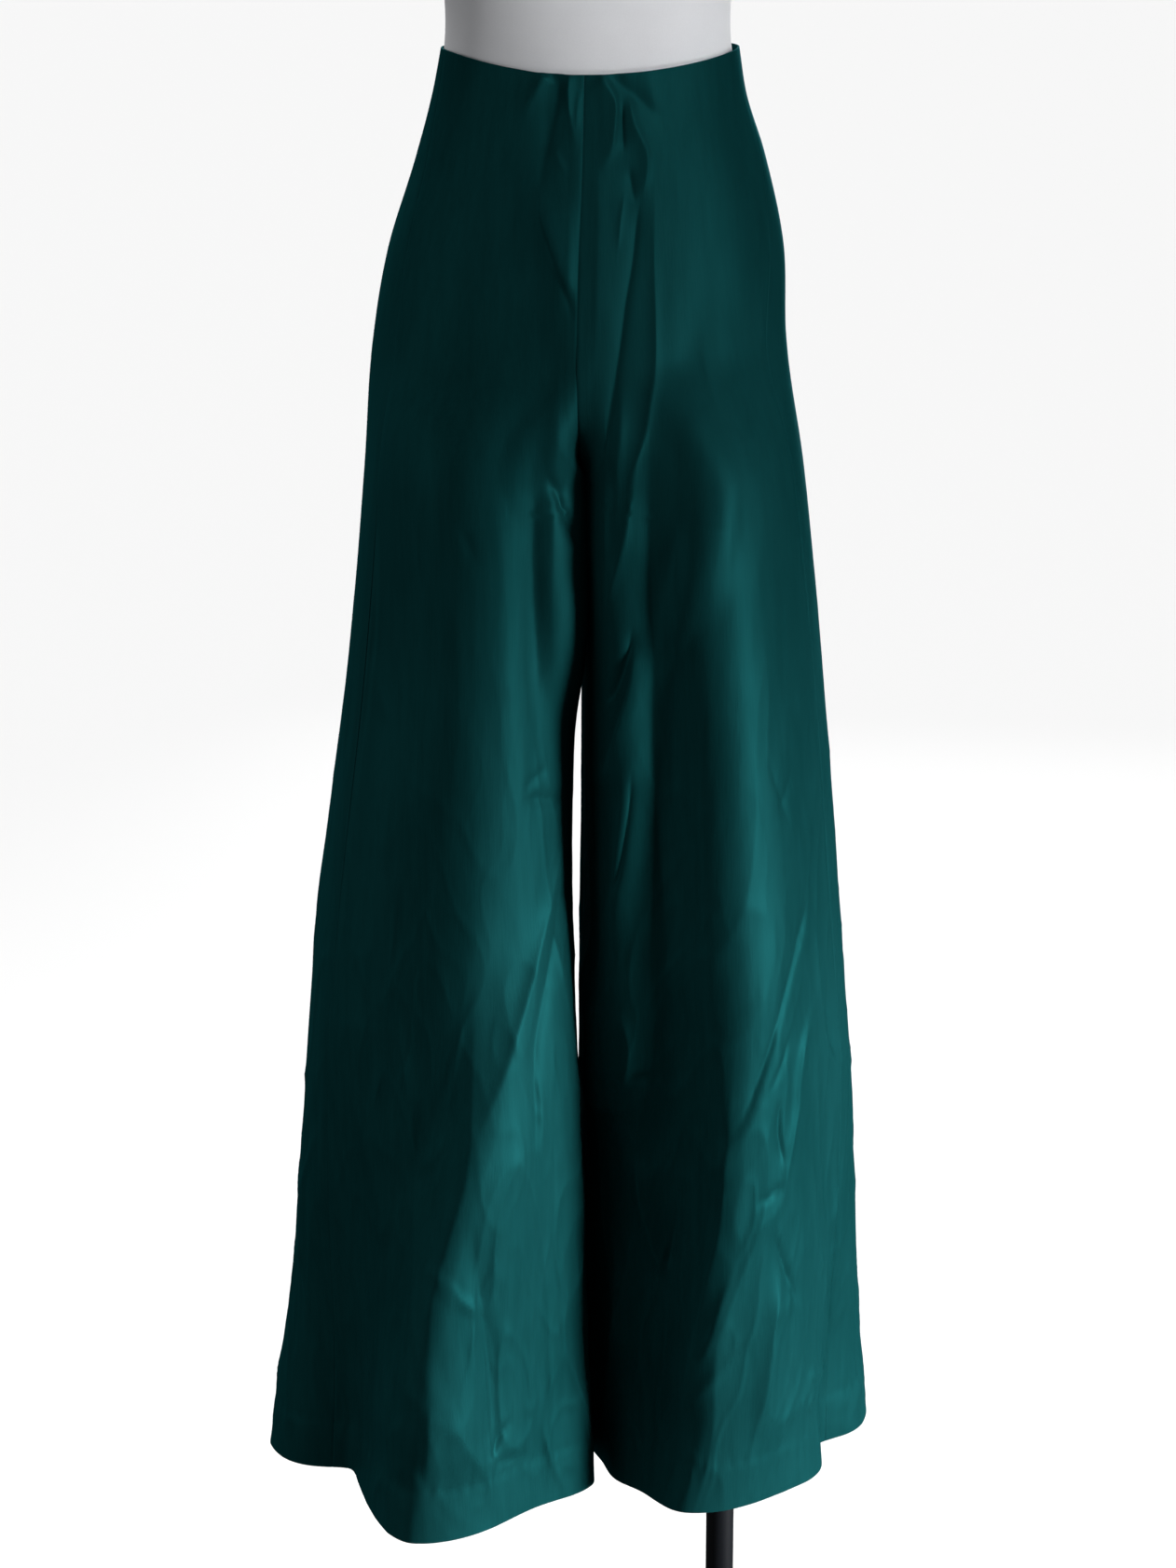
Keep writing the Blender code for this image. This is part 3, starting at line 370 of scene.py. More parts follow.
# The inside front of a leg pulled into a flat face with a squarer edge: leg, drops where it starts, is full,
# starts to fade and ends, how far forward and sideways, the X where it has died away, its steepness
facets = [
    ("left", 0.215, 0.345, 0.700, 0.815, 0.024, 0.000, 0.052, 1.6),
    ("right", 0.215, 0.320, 0.380, 0.500, 0.014, 0.012, -0.070, 1.6),
]
facetEdge = {
    "inner": {"right": -0.012, "left": 0.000},   # the X where it is full
    "reach": 0.022,          # distance from the inside-leg seam over which it grows
    "clear": 0.001,          # it stays this far from the plane between the legs
}

# The grid of each panel: rows above the fork, through the fork and down the leg, columns, and edge columns
panelGrid = {
    "rows": (70, 40, 220),
    "forkCrowding": 1.7,
    "columns": {"front": 253, "back": 181},
    "lining": (2, 3),        # the inner face has every second row and every third column
    "sideLap": 0.0004,       # the panels lap this far at the side seams
    "edgeSteps": (0.0, 0.0005, 0.0011, 0.0019, 0.0030, 0.0046),
    "wall": 0.0010,
    "hemWall": 0.0019,
    "probe": 420,            # points along a row from which its columns are spaced
    "sharpAngle": 55,
}
# How sewing marks the cloth
sewing = {
    "roll": 0.0004,          # the edges roll in where two panels meet
    "rollWidth": 0.0009,
    "allowance": 0.0085,     # the pressed-open seam allowance shows through as a slight step
    "allowanceStep": 0.00011,
    "stepWidth": 0.0028,
    "seamHold": 0.9,         # creases and unevenness die away at a seam
    "seamHoldWidth": 0.004,
    "hemStep": 0.00035,
    "hemStepWidth": 0.004,
    "hemWallWidth": 0.003,
    "pricks": 0.0105,        # distance between the blind hem's stitches
    "prickDepth": 0.00045,
    "prickWidth": 0.0024,
}
# Slight unevenness of the hanging cloth: wavelengths across and down, and height
unevenness = [(0.085, 0.30, 0.0018), (0.040, 0.16, 0.0010), (0.020, 0.070, 0.00032), (0.010, 0.030, 0.00012)]
# Fine wandering creases where the cloth has been handled: wavelengths across and down, height, sharpness
crumples = [(0.070, 0.20, 0.0013, 5.0), (0.042, 0.11, 0.0010, 4.5), (0.024, 0.060, 0.0005, 4.0)]
hanging = {
    "lean": {"right": 0.08, "left": -0.22},      # sideways for each metre up, so that it follows the leg
    "unevenShift": (3.7, 1.9, 7.3),              # keeps the waves of each kind apart
    "crumpleShift": (5.1, 2.3, 4.7),
    "crumpleStart": (11.0, 0.0, 0.0),
    "crumpleTop": 0.25,      # the drop below which the cloth has been handled
    "crumpleLength": 0.6,
    "atWaist": 0.3,          # share of the full height at the waist, and its growth to the hem
    "growth": 0.9,
    "hemCalm": 0.85,         # the turned-up hem hangs this much flatter
    "hemReach": 0.045,
}


def smoothRoute(route, steps=8):
    # a curve through listed points
    points = [np.array(p) for p in route]
    points = [2 * points[0] - points[1]] + points + [2 * points[-1] - points[-2]]
    curve = []
    for a, b, c, d in zip(points, points[1:], points[2:], points[3:]):
        for k in range(steps):
            t = k / steps
            square = (2 * a - 5 * b + 4 * c - d) * t**2
            cube = (3 * b - a - 3 * c + d) * t**3
            curve.append(0.5 * (2 * b + (c - a) * t + square + cube))
    curve.append(points[-2])
    return np.array(curve)


def creaseHeight(leg, face, x, drop):
    height = np.zeros(x.shape)
    for row in creases[(leg, face)]:
        crease = dict(zip(creaseColumns, row))
        curve = smoothRoute(crease["route"]) * millimetre
        minus, plus = crease["minus"] * millimetre, crease["plus"] * millimetre
        reach = creaseReach * max(minus, plus)
        near = (x > curve[:, 0].min() - reach) & (x < curve[:, 0].max() + reach)
        near &= (drop > curve[:, 1].min() - reach) & (drop < curve[:, 1].max() + reach)
        px, pd = x[near], drop[near]
        best = np.full(px.shape, np.inf)
        off = np.zeros(px.shape)
        along = np.zeros(px.shape)
        for k, (a, b) in enumerate(zip(curve, curve[1:])):
            run = b - a
            t = np.clip(((px - a[0]) * run[0] + (pd - a[1]) * run[1]) / (run @ run), 0.0, 1.0)
            awayX = px - a[0] - t * run[0]
            away = np.hypot(awayX, pd - a[1] - t * run[1])
            closer = away < best
            best = np.where(closer, away, best)
            off = np.where(closer, awayX, off)
            along = np.where(closer, (k + t) / (len(curve) - 1), along)
        width = np.where(off < 0, minus, plus)
        fade = smooth(along / crease["fadeIn"]) * smooth((1 - along) / crease["fadeOut"])
        height[near] += crease["height"] * millimetre * fade * np.exp(-((best / width) ** crease["edge"]))
    return height


def facetPush(leg, base, drop, fromSeam):
    x = base[..., 0].copy()
    for facetLeg, top, full, fading, end, forward, sideways, outX, growth in facets:
        if facetLeg == leg:
            down = smooth((drop - top) / (full - top)) * smooth((end - drop) / (end - fading))
            share = np.clip((outX - x) / (outX - facetEdge["inner"][leg]), 0.0, 1.0) ** growth
            push = down * share * smooth(fromSeam / facetEdge["reach"])
            plane = ringValue("seam", drop)
            moved = x + sideways * push
            if leg == "left":
                moved = np.maximum(moved, np.minimum(x, plane + facetEdge["clear"]))
            else:
                moved = np.minimum(moved, np.maximum(x, plane - facetEdge["clear"]))
            base[..., 0] = moved
            base[..., 1] -= forward * push


def noiseAt(points, across, down, shift):
    scaled = points / np.array((across, across, down))
    return np.array([noise.noise(Vector(p) + shift) for p in scaled])


def clothNoise(leg, points, drop):
    # the same at a side seam on both panels, because it is read at the point itself
    height = np.zeros(drop.shape)
    flat = points.reshape(-1, 3).copy()
    flat[:, 0] += hanging["lean"][leg] * flat[:, 2]
    for wave, (across, down, tall) in enumerate(unevenness):
        shift = wave * Vector(hanging["unevenShift"])
        height += tall * noiseAt(flat, across, down, shift).reshape(drop.shape)
    handled = smooth((drop - hanging["crumpleTop"]) / hanging["crumpleLength"])
    for wave, (across, down, tall, sharp) in enumerate(crumples):
        shift = wave * Vector(hanging["crumpleShift"]) + Vector(hanging["crumpleStart"])
        line = np.clip(1 - np.abs(noiseAt(flat, across, down, shift)) * sharp, 0, 1).reshape(drop.shape)
        height += tall * line**2 * handled
    aboveHem = cut["outseam"] - drop
    calm = 1 - hanging["hemCalm"] * smooth(1 - aboveHem / hanging["hemReach"])
    return height * (hanging["atWaist"] + hanging["growth"] * drop / cut["outseam"]) * calm


def panelRows(face):
    # drops of each row at the centre or inside-leg edge, and at the side seam
    upper, fork, leg = panelGrid["rows"]
    dip = cut["frontDip"] if face == "front" else cut["backDip"]
    turn = np.linspace(0, 1, fork + 1)[1:]
    hemShare = np.linspace(0, 1, leg + 1)[1:]
    inner = np.concatenate([
        np.linspace(dip, cut["fork"], upper + 1),
        cut["fork"] + (cut["crotch"] - cut["fork"]) * (1 - (1 - turn) ** panelGrid["forkCrowding"]),
        cut["crotch"] + (cut["outseam"] - cut["crotch"]) * hemShare,
    ])
    outer = np.concatenate([
        np.linspace(0, cut["sideAtFork"], upper + 1),
        cut["sideAtFork"] + (cut["sideAtCrotch"] - cut["sideAtFork"]) * turn,
        cut["sideAtCrotch"] + (cut["outseam"] - cut["sideAtCrotch"]) * hemShare,
    ])
    return inner, outer


def panelPoints(leg, face):
    # angles, drops and distances from the nearest seam, with the columns even along the cloth
    sign = -1 if face == "front" else 1
    inner, outer = panelRows(face)
    fine = np.linspace(0, 1, panelGrid["probe"])
    drop = outer[:, None] + (inner - outer)[:, None] * (1 - smooth(fine))[None, :]
    start = sign * seamAngle(leg, inner, face)
    centre, half, front, back, middle = ovalOf(leg, outer)
    end = np.radians(ringValue("side", outer)) - sign * panelGrid["sideLap"] / front
    angle = start[:, None] + (end - start)[:, None] * fine[None, :]
    probe = clothSurface(leg, angle, drop)
    step = np.linalg.norm(np.diff(probe, axis=1), axis=2)
    length = np.concatenate([np.zeros((len(inner), 1)), np.cumsum(step, axis=1)], axis=1)
    edge = np.array(panelGrid["edgeSteps"])
    middleCount = panelGrid["columns"][face] - 2 * len(edge) + 1
    angles, drops, fromSeam, fromInner = [], [], [], []
    for row in range(len(inner)):
        total = length[row, -1]
        between = np.linspace(edge[-1], total - edge[-1], middleCount + 2)[1:-1]
        places = np.concatenate([edge, between, (total - edge)[::-1]])
        share = np.interp(places, length[row], fine)
        angles.append(np.interp(share, fine, angle[row]))
        drops.append(np.interp(share, fine, drop[row]))
        fromInner.append(places)
        fromSeam.append(np.minimum(places, total - places))
    return np.array(angles), np.array(drops), np.array(fromSeam), np.array(fromInner), length[:, -1]


def gridNormals(points, flip):
    down = np.gradient(points, axis=0)
    over = np.gradient(points, axis=1)
    normal = np.cross(down, over) * flip
    return normal / np.linalg.norm(normal, axis=-1, keepdims=True)


def lowest(grid, steps):
    # the least value within one coarse step of each point
    least = grid
    for axis, step in enumerate(steps):
        for shift in range(1, step + 1):
            first, last = np.take(grid, [0] * shift, axis), np.take(grid, [-1] * shift, axis)
            back = np.concatenate([first, np.delete(grid, np.s_[-shift:], axis)], axis)
            forth = np.concatenate([np.delete(grid, np.s_[:shift], axis), last], axis)
            least = np.minimum(least, np.minimum(back, forth))
        grid = least
    return least


def shell(outer, inner, steps, mirrored):
    # a closed skin: the full grid outside, a coarser one inside and strips round the edges
    rows, columns = outer.shape[:2]
    number = np.arange(rows * columns).reshape(rows, columns)
    rowPick = np.arange(0, rows, steps[0])
    columnPick = np.arange(0, columns, steps[1])
    inside = rows * columns + np.arange(len(rowPick) * len(columnPick)).reshape(len(rowPick), len(columnPick))
    faces = []
    for grid, turned in ((number, mirrored), (inside, not mirrored)):
        quads = np.stack([grid[:-1, :-1], grid[:-1, 1:], grid[1:, 1:], grid[1:, :-1]], axis=-1).reshape(-1, 4)
        faces += (quads[:, ::-1] if turned else quads).tolist()
    edges = [
        (number[0], inside[0], steps[1], True),
        (number[-1], inside[-1], steps[1], False),
        (number[:, 0], inside[:, 0], steps[0], False),
        (number[:, -1], inside[:, -1], steps[0], True),
    ]
    for fine, coarse, step, turned in edges:
        for k in range(len(coarse) - 1):
            strip = fine[k * step:(k + 1) * step + 1].tolist() + [int(coarse[k + 1]), int(coarse[k])]
            faces.append(strip[::-1] if turned == mirrored else strip)
    points = np.concatenate([outer.reshape(-1, 3), inner[np.ix_(rowPick, columnPick)].reshape(-1, 3)])
    return points.tolist(), faces


def newPiece(name, points, faces, look, sharpAngle):
    mesh = bpy.data.meshes.new(name)
    mesh.from_pydata(points, [], faces)
    mesh.materials.append(look)
    mesh.shade_smooth()
    mesh.set_sharp_from_angle(angle=math.radians(sharpAngle))
    piece = bpy.data.objects.new(name, mesh)
    bpy.context.scene.collection.objects.link(piece)
    return piece


def panelLift(leg, face, base, drop, fromSeam):
    # how far creases, unevenness and sewing lift each point off the drape
    lift = creaseHeight(leg, face, base[..., 0], drop) + clothNoise(leg, base, drop)
    lift = lift * (1 - sewing["seamHold"] * np.exp(-((fromSeam / sewing["seamHoldWidth"]) ** 2)))
    lift -= sewing["roll"] * np.exp(-((fromSeam / sewing["rollWidth"]) ** 2))
    lift += sewing["allowanceStep"] * smooth((sewing["allowance"] - fromSeam) / sewing["stepWidth"] + 0.5)
    belowLine = drop - cut["outseam"] + cut["turnUp"]
    lift += sewing["hemStep"] * smooth(belowLine / sewing["hemStepWidth"])
    alongHem = np.cumsum(np.linalg.norm(np.gradient(base, axis=1), axis=2), axis=1)
    prick = np.abs((alongHem / sewing["pricks"]) % 1 - 0.5) * sewing["pricks"]
    lift -= sewing["prickDepth"] * np.exp(-(prick**2 + belowLine**2) / sewing["prickWidth"] ** 2)
    return lift


def buildPanel(leg, face, look):
    angle, drop, fromSeam, fromInner, lengths = panelPoints(leg, face)
    base = clothSurface(leg, angle, drop)
    if face == "front":
        facetPush(leg, base, drop, fromInner)
    flip = 1 if (leg == "right") == (face == "front") else -1
    normal = gridNormals(base, -flip)
    lift = panelLift(leg, face, base, drop, fromSeam)
    outer = base + normal * lift[..., None]
    outer[..., 2] = np.where(drop >= cut["outseam"], base[..., 2], outer[..., 2])
    outer[..., 2] = np.where(drop <= drop.min(axis=0)[None, :], base[..., 2], outer[..., 2])
    hem = smooth((drop - cut["outseam"] + cut["turnUp"]) / sewing["hemWallWidth"])
    wall = panelGrid["wall"] + (panelGrid["hemWall"] - panelGrid["wall"]) * hem
    inner = base + normal * (lowest(lift, panelGrid["lining"]) - wall)[..., None]
    inner[0, :, 2] = outer[0, :, 2]
    inner[-1, :, 2] = outer[-1, :, 2]
    points, faces = shell(outer, inner, panelGrid["lining"], flip == -1)
    piece = newPiece(f"satin_{face}_{leg}", points, faces, look, panelGrid["sharpAngle"])
    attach(piece, clothBody)
    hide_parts(f"{face}_{leg}")


# Shader nodes written as expressions
class Wire:
    def __init__(self, tree, socket=None):
        self.tree = tree
        self.socket = socket

    def node(self, kind, settings, sockets, out=0):
        made = self.tree.nodes.new(kind)
        for name, value in settings.items():
            setattr(made, name, value)
        for name, value in sockets.items():
            if isinstance(value, Wire):
                self.tree.links.new(value.socket, made.inputs[name])
            else:
                made.inputs[name].default_value = value
        return Wire(self.tree, made.outputs[out])

    def maths(self, operation, first, second):
        return self.node("ShaderNodeMath", {"operation": operation}, {0: first, 1: second})

    def __add__(self, other):
        return self.maths("ADD", self, other)

    __radd__ = __add__

    def __sub__(self, other):
        return self.maths("SUBTRACT", self, other)

    def __rsub__(self, other):
        return self.maths("SUBTRACT", other, self)

    def __mul__(self, other):
        return self.maths("MULTIPLY", self, other)

    __rmul__ = __mul__

    def stretched(self, scale):
        return self.node("ShaderNodeVectorMath", {"operation": "MULTIPLY"}, {0: self, 1: scale})

    def noise(self, grain, detail=2.0, roughness=0.5):
        sockets = {"Vector": self.stretched(grain), "Scale": 1.0, "Detail": detail, "Roughness": roughness}
        return self.node("ShaderNodeTexNoise", {}, sockets)

    def between(self, limits):
        sockets = {"Value": self, "From Min": limits[0], "From Max": limits[1]}
        return self.node("ShaderNodeMapRange", {"interpolation_type": "SMOOTHSTEP"}, sockets)

    def blend(self, low, high):
        return self.node("ShaderNodeMix", {"data_type": "RGBA"}, {"Factor": self, 6: low, 7: high}, out=2)

    def relief(self, distance, strength):
        return self.node("ShaderNodeBump", {}, {"Height": self, "Distance": distance, "Strength": strength})


def newLook(name, fixed):
    made = bpy.data.materials.new(name)
    made.use_nodes = True
    shader = made.node_tree.nodes["Principled BSDF"]
    for key, value in fixed.items():
        shader.inputs[key].default_value = value
    place = Wire(made.node_tree).node("ShaderNodeTexCoord", {}, {}, out="Object")
    return made, shader, place


def feed(shader, socket, wire):
    wire.tree.links.new(wire.socket, shader.inputs[socket])


satin = {
    "deep": (0.0028, 0.035, 0.037, 1.0),
    "light": (0.0046, 0.049, 0.052, 1.0),
    "tint": (0.15, 0.9, 1.0, 1.0),
    "metallic": 0.3,
    "specular": 0.0,
    "roughness": 0.52,
    "cloudGrain": (9.0, 9.0, 3.0),
    "threadGrain": (900.0, 900.0, 60.0),
    "slubGrain": (160.0, 160.0, 18.0),
    "shares": (0.6, 0.25, 0.15),     # of clouds, slubs and threads in the colour
    "limits": (0.34, 0.66),
    "cloudSheen": 0.10,
    "threadSheen": 0.06,
    "depth": 0.0003,
    "strength": 0.5,
}


def satinLook():
    made, shader, place = newLook("satin", {
        "Specular IOR Level": satin["specular"],
        "Metallic": satin["metallic"],
        "Specular Tint": satin["tint"],
    })
    clouds = place.noise(satin["cloudGrain"], 3.0)
    threads = place.noise(satin["threadGrain"])
    slubs = place.noise(satin["slubGrain"], 3.0)
    cloudShare, slubShare, threadShare = satin["shares"]
    tone = (clouds * cloudShare + slubs * slubShare + threads * threadShare).between(satin["limits"])
    sheen = (clouds - 0.5) * satin["cloudSheen"] + (threads - 0.5) * satin["threadSheen"]
    feed(shader, "Base Color", tone.blend(satin["deep"], satin["light"]))
    feed(shader, "Roughness", satin["roughness"] + sheen)
    feed(shader, "Normal", (threads * 0.5 + slubs * 0.5).relief(satin["depth"], satin["strength"]))
    return made


cover = {
    "white": (0.83, 0.84, 0.87, 1.0),
    "shade": (0.77, 0.78, 0.81, 1.0),
    "sheen": 0.15,
    "sheenRoughness": 0.5,
    "roughness": 0.78,
    "knitRoughness": 0.15,
    "knitGrain": (1500.0, 1500.0, 1100.0),
    "cloudGrain": (14.0, 14.0, 14.0),
    "shares": (0.7, 0.3),            # of clouds and knit in the colour
    "limits": (0.3, 0.7),
    "depth": 0.0002,
    "strength": 0.35,
}


def coverLook():
    made, shader, place = newLook("form_cover", {
        "Sheen Weight": cover["sheen"],
        "Sheen Roughness": cover["sheenRoughness"],
    })
    knit = place.noise(cover["knitGrain"])
    clouds = place.noise(cover["cloudGrain"], 3.0)
    cloudShare, knitShare = cover["shares"]
    tone = (clouds * cloudShare + knit * knitShare).between(cover["limits"])
    feed(shader, "Base Color", tone.blend(cover["shade"], cover["white"]))
    feed(shader, "Roughness", cover["roughness"] + (knit - 0.5) * cover["knitRoughness"])
    feed(shader, "Normal", knit.relief(cover["depth"], cover["strength"]))
    return made


enamel = {
    "black": (0.006, 0.007, 0.009, 1.0),
    "worn": (0.014, 0.015, 0.018, 1.0),
    "specular": 0.12,
    "roughness": 0.46,
    "scuffRoughness": 0.3,
    "peelGrain": (420.0, 420.0, 420.0),
    "scuffGrain": (38.0, 38.0, 9.0),
    "limits": (0.58, 0.75),
    "depth": 0.0004,
    "strength": 0.25,
}


def enamelLook():
    made, shader, place = newLook("stand_enamel", {"Specular IOR Level": enamel["specular"]})
    peel = place.noise(enamel["peelGrain"])
    scuffs = place.noise(enamel["scuffGrain"], 6.0, 0.7)
    feed(shader, "Base Color", scuffs.between(enamel["limits"]).blend(enamel["black"], enamel["worn"]))
    feed(shader, "Roughness", enamel["roughness"] + (scuffs - 0.5) * enamel["scuffRoughness"])
    feed(shader, "Normal", peel.relief(enamel["depth"], enamel["strength"]))
    return made


lacquer = {
    "white": (0.66, 0.67, 0.69, 1.0),
    "grey": (0.58, 0.59, 0.61, 1.0),
    "coat": 0.2,
    "coatRoughness": 0.2,
    "roughness": 0.4,
    "cloudRoughness": 0.12,
    "cloudGrain": (30.0, 30.0, 30.0),
    "fineGrain": (600.0, 600.0, 600.0),
    "limits": (0.3, 0.7),
    "depth": 0.0002,
    "strength": 0.2,
}


def capLook():
    made, shader, place = newLook("cap", {
        "Coat Weight": lacquer["coat"],
        "Coat Roughness": lacquer["coatRoughness"],
    })
    clouds = place.noise(lacquer["cloudGrain"], 4.0)
    fine = place.noise(lacquer["fineGrain"])
    feed(shader, "Base Color", clouds.between(lacquer["limits"]).blend(lacquer["grey"], lacquer["white"]))
    feed(shader, "Roughness", lacquer["roughness"] + (clouds - 0.5) * lacquer["cloudRoughness"])
    feed(shader, "Normal", fine.relief(lacquer["depth"], lacquer["strength"]))
    return made


zipTone = {
    "dark": (0.010, 0.070, 0.066, 1.0),
    "edge": (0.016, 0.095, 0.090, 1.0),
    "coat": 0.08,
    "coatRoughness": 0.3,
    "roughness": 0.42,
    "wearRoughness": 0.2,
    "wearGrain": (700.0, 700.0, 700.0),
    "limits": (0.5, 0.72),
    "depth": 0.0001,
    "strength": 0.2,
}


def zipLook():
    made, shader, place = newLook("zip_enamel", {
        "Coat Weight": zipTone["coat"],
        "Coat Roughness": zipTone["coatRoughness"],
    })
    wear = place.noise(zipTone["wearGrain"], 4.0, 0.6)
    feed(shader, "Base Color", wear.between(zipTone["limits"]).blend(zipTone["dark"], zipTone["edge"]))
    feed(shader, "Roughness", zipTone["roughness"] + (wear - 0.5) * zipTone["wearRoughness"])
    feed(shader, "Normal", wear.relief(zipTone["depth"], zipTone["strength"]))
    return made


# The form: rise above the waist, half width, front and back reach
formColumns = ("rise", "halfWidth", "front", "back")
formRings = [
    (-0.1900, 0.1270, 0.0790, 0.0900),
    (-0.1860, 0.1315, 0.0840, 0.0960),
    (-0.1740, 0.1345, 0.0885, 0.1010),
    (-0.1400, 0.1320, 0.0915, 0.1030),
    (-0.1050, 0.1235, 0.0900, 0.0975),
    (-0.0700, 0.1150, 0.0885, 0.0900),
    (-0.0450, 0.1110, 0.0870, 0.0855),
    (-0.0300, 0.1081, 0.0862, 0.0832),
    (-0.0100, 0.1030, 0.0845, 0.0805),
    (0.0150, 0.1005, 0.0830, 0.0785),
    (0.0500, 0.1025, 0.0845, 0.0790),
    (0.0950, 0.1110, 0.0930, 0.0840),
    (0.1300, 0.1190, 0.1010, 0.0885),
    (0.1650, 0.1265, 0.1080, 0.0930),
    (0.2000, 0.1330, 0.1105, 0.0965),
    (0.2350, 0.1390, 0.1080, 0.0990),
    (0.2750, 0.1465, 0.1000, 0.0995),
    (0.3150, 0.1555, 0.0895, 0.0960),
    (0.3450, 0.1630, 0.0790, 0.0890),
    (0.3640, 0.1600, 0.0715, 0.0820),
    (0.3780, 0.1460, 0.0660, 0.0760),
    (0.3920, 0.1190, 0.0610, 0.0700),
    (0.4060, 0.0900, 0.0570, 0.0640),
    (0.4200, 0.0690, 0.0540, 0.0590),
    (0.4380, 0.0580, 0.0515, 0.0550),
    (0.4700, 0.0545, 0.0500, 0.0530),
]
form = {"sides": 160, "rows": 220, "sharpAngle": 40}


def loftRings(name, points, look, hollow=False):
    # points[row, side] joined round and down, with flat ends or, when hollow, from the last row to the first
    rows, sides = points.shape[:2]
    number = np.arange(rows * sides).reshape(rows, sides)
    below = np.roll(number, -1, axis=0) if hollow else number[1:]
    faces = []
    for high, low in zip(number, below):
        faces += np.stack([high, np.roll(high, -1), np.roll(low, -1), low], axis=1).tolist()
    if not hollow:
        faces += [number[0][::-1].tolist(), number[-1].tolist()]
    return newPiece(name, points.reshape(-1, 3).tolist(), faces, look, form["sharpAngle"])


def buildForm(look):
    low, high = formRings[0][0], formRings[-1][0]
    rise = np.linspace(low, high, form["rows"])
    angle = np.linspace(0, 2 * math.pi, form["sides"], endpoint=False)
    half, front, back = [readTable(formRings, formColumns, one, rise)[:, None] for one in formColumns[1:]]
    x = half * np.cos(angle)
    y = np.where(np.sin(angle)[None, :] < 0, front, back) * np.sin(angle)
    z = np.broadcast_to((cut["waistHeight"] + rise)[:, None], x.shape)
    piece = loftRings("form_body", np.stack([x, y, z], axis=-1)[::-1], look)
    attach(piece, clothBody)
    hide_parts("dress_form")


stand = {
    "poleX": 0.106,
    "poleRadius": 0.011,
    "sides": 96,
    "baseSides": 160,
    "baseRound": 0.0025,
    "poleRound": 0.0005,
    "flangeRound": 0.0008,
    "socketRound": 0.0025,
    "socketGap": 0.0003,
    "socketChamfer": (0.0006, 0.0010),
    "capRound": 0.003,
    "pin": 0.0005,           # a flat face starts this far from its middle
}


def turned(name, profile, centre, look, node, slot, sides=stand["sides"], hollow=False):
    # profile of (radius, height) from the top down the outside
    angle = np.linspace(0, 2 * math.pi, sides, endpoint=False)
    points = np.array([[(centre + r * math.cos(a), r * math.sin(a), h) for a in angle] for r, h in profile])
    piece = loftRings(name, points, look, hollow)
    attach(piece, clothBody)
    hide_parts(node)


def rounded(radius, top, size, steps=6):
    # a rounded upper edge
    turn = [math.pi / 2 * (1 - k / steps) for k in range(steps + 1)]
    return [(radius - size + size * math.cos(t), top - size + size * math.sin(t)) for t in turn]


def discSizes(node):
    # radius, foot and top of a round solid
    low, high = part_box(node)
    return (high[0] - low[0]) / 2, low[2], high[2]


def buildStand(look):
    radius, foot, top = discSizes("base_plate")
    profile = [(stand["pin"], top)] + rounded(radius, top, stand["baseRound"])
    profile += [(radius, foot), (stand["pin"], foot)]
    turned("stand_base", profile, 0.0, look, "base_plate", "stand_enamel", stand["baseSides"])
    radius, foot, top = stand["poleRadius"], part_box("pole")[0][2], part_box("pole")[1][2]
    profile = rounded(radius, top, stand["poleRound"], 3) + [(radius, foot)]
    turned("stand_pole", profile, stand["poleX"], look, "pole", "stand_enamel")
    radius, foot, top = discSizes("form_flange")
    edge = stand["flangeRound"]
    profile = rounded(radius, top, edge, 3) + [(radius, foot + edge), (radius - edge, foot)]
    turned("stand_flange", profile, stand["poleX"], look, "form_flange", "stand_enamel")
    radius, foot, top = discSizes("pole_socket")
    bore = stand["poleRadius"] + stand["socketGap"]
    across, down = stand["socketChamfer"]
    profile = [(bore, top - down), (bore + across, top)] + rounded(radius, top, stand["socketRound"])
    profile += [(radius, foot), (bore, foot)]
    turned("stand_socket", profile, stand["poleX"], look, "pole_socket", "stand_enamel", hollow=True)


def buildCap(look):
    radius, foot, top = discSizes("neck_cap")
    profile = [(stand["pin"], top)] + rounded(radius, top, stand["capRound"]) + [(radius, foot)]
    turned("form_cap", profile, 0.0, look, "neck_cap", "cap")


view = {"turn": -6.0, "reach": 2.6, "height": 1.573, "aimHeight": 0.793, "lens": 83.3}


def facing(place, aim):
    # where a camera or a lamp stands and looks
    return Matrix.Translation(place) @ (aim - place).to_track_quat("-Z", "Y").to_matrix().to_4x4()


def buildCamera():
    turn = math.radians(view["turn"])
    place = Vector((math.sin(turn) * view["reach"], -math.cos(turn) * view["reach"], view["height"]))
    lens = bpy.data.cameras.new("camera")
    lens.lens = view["lens"]
    camera = bpy.data.objects.new("camera", lens)
    camera.matrix_world = facing(place, Vector((0.0, 0.0, view["aimHeight"])))
    bpy.context.scene.collection.objects.link(camera)
    bpy.context.scene.camera = camera


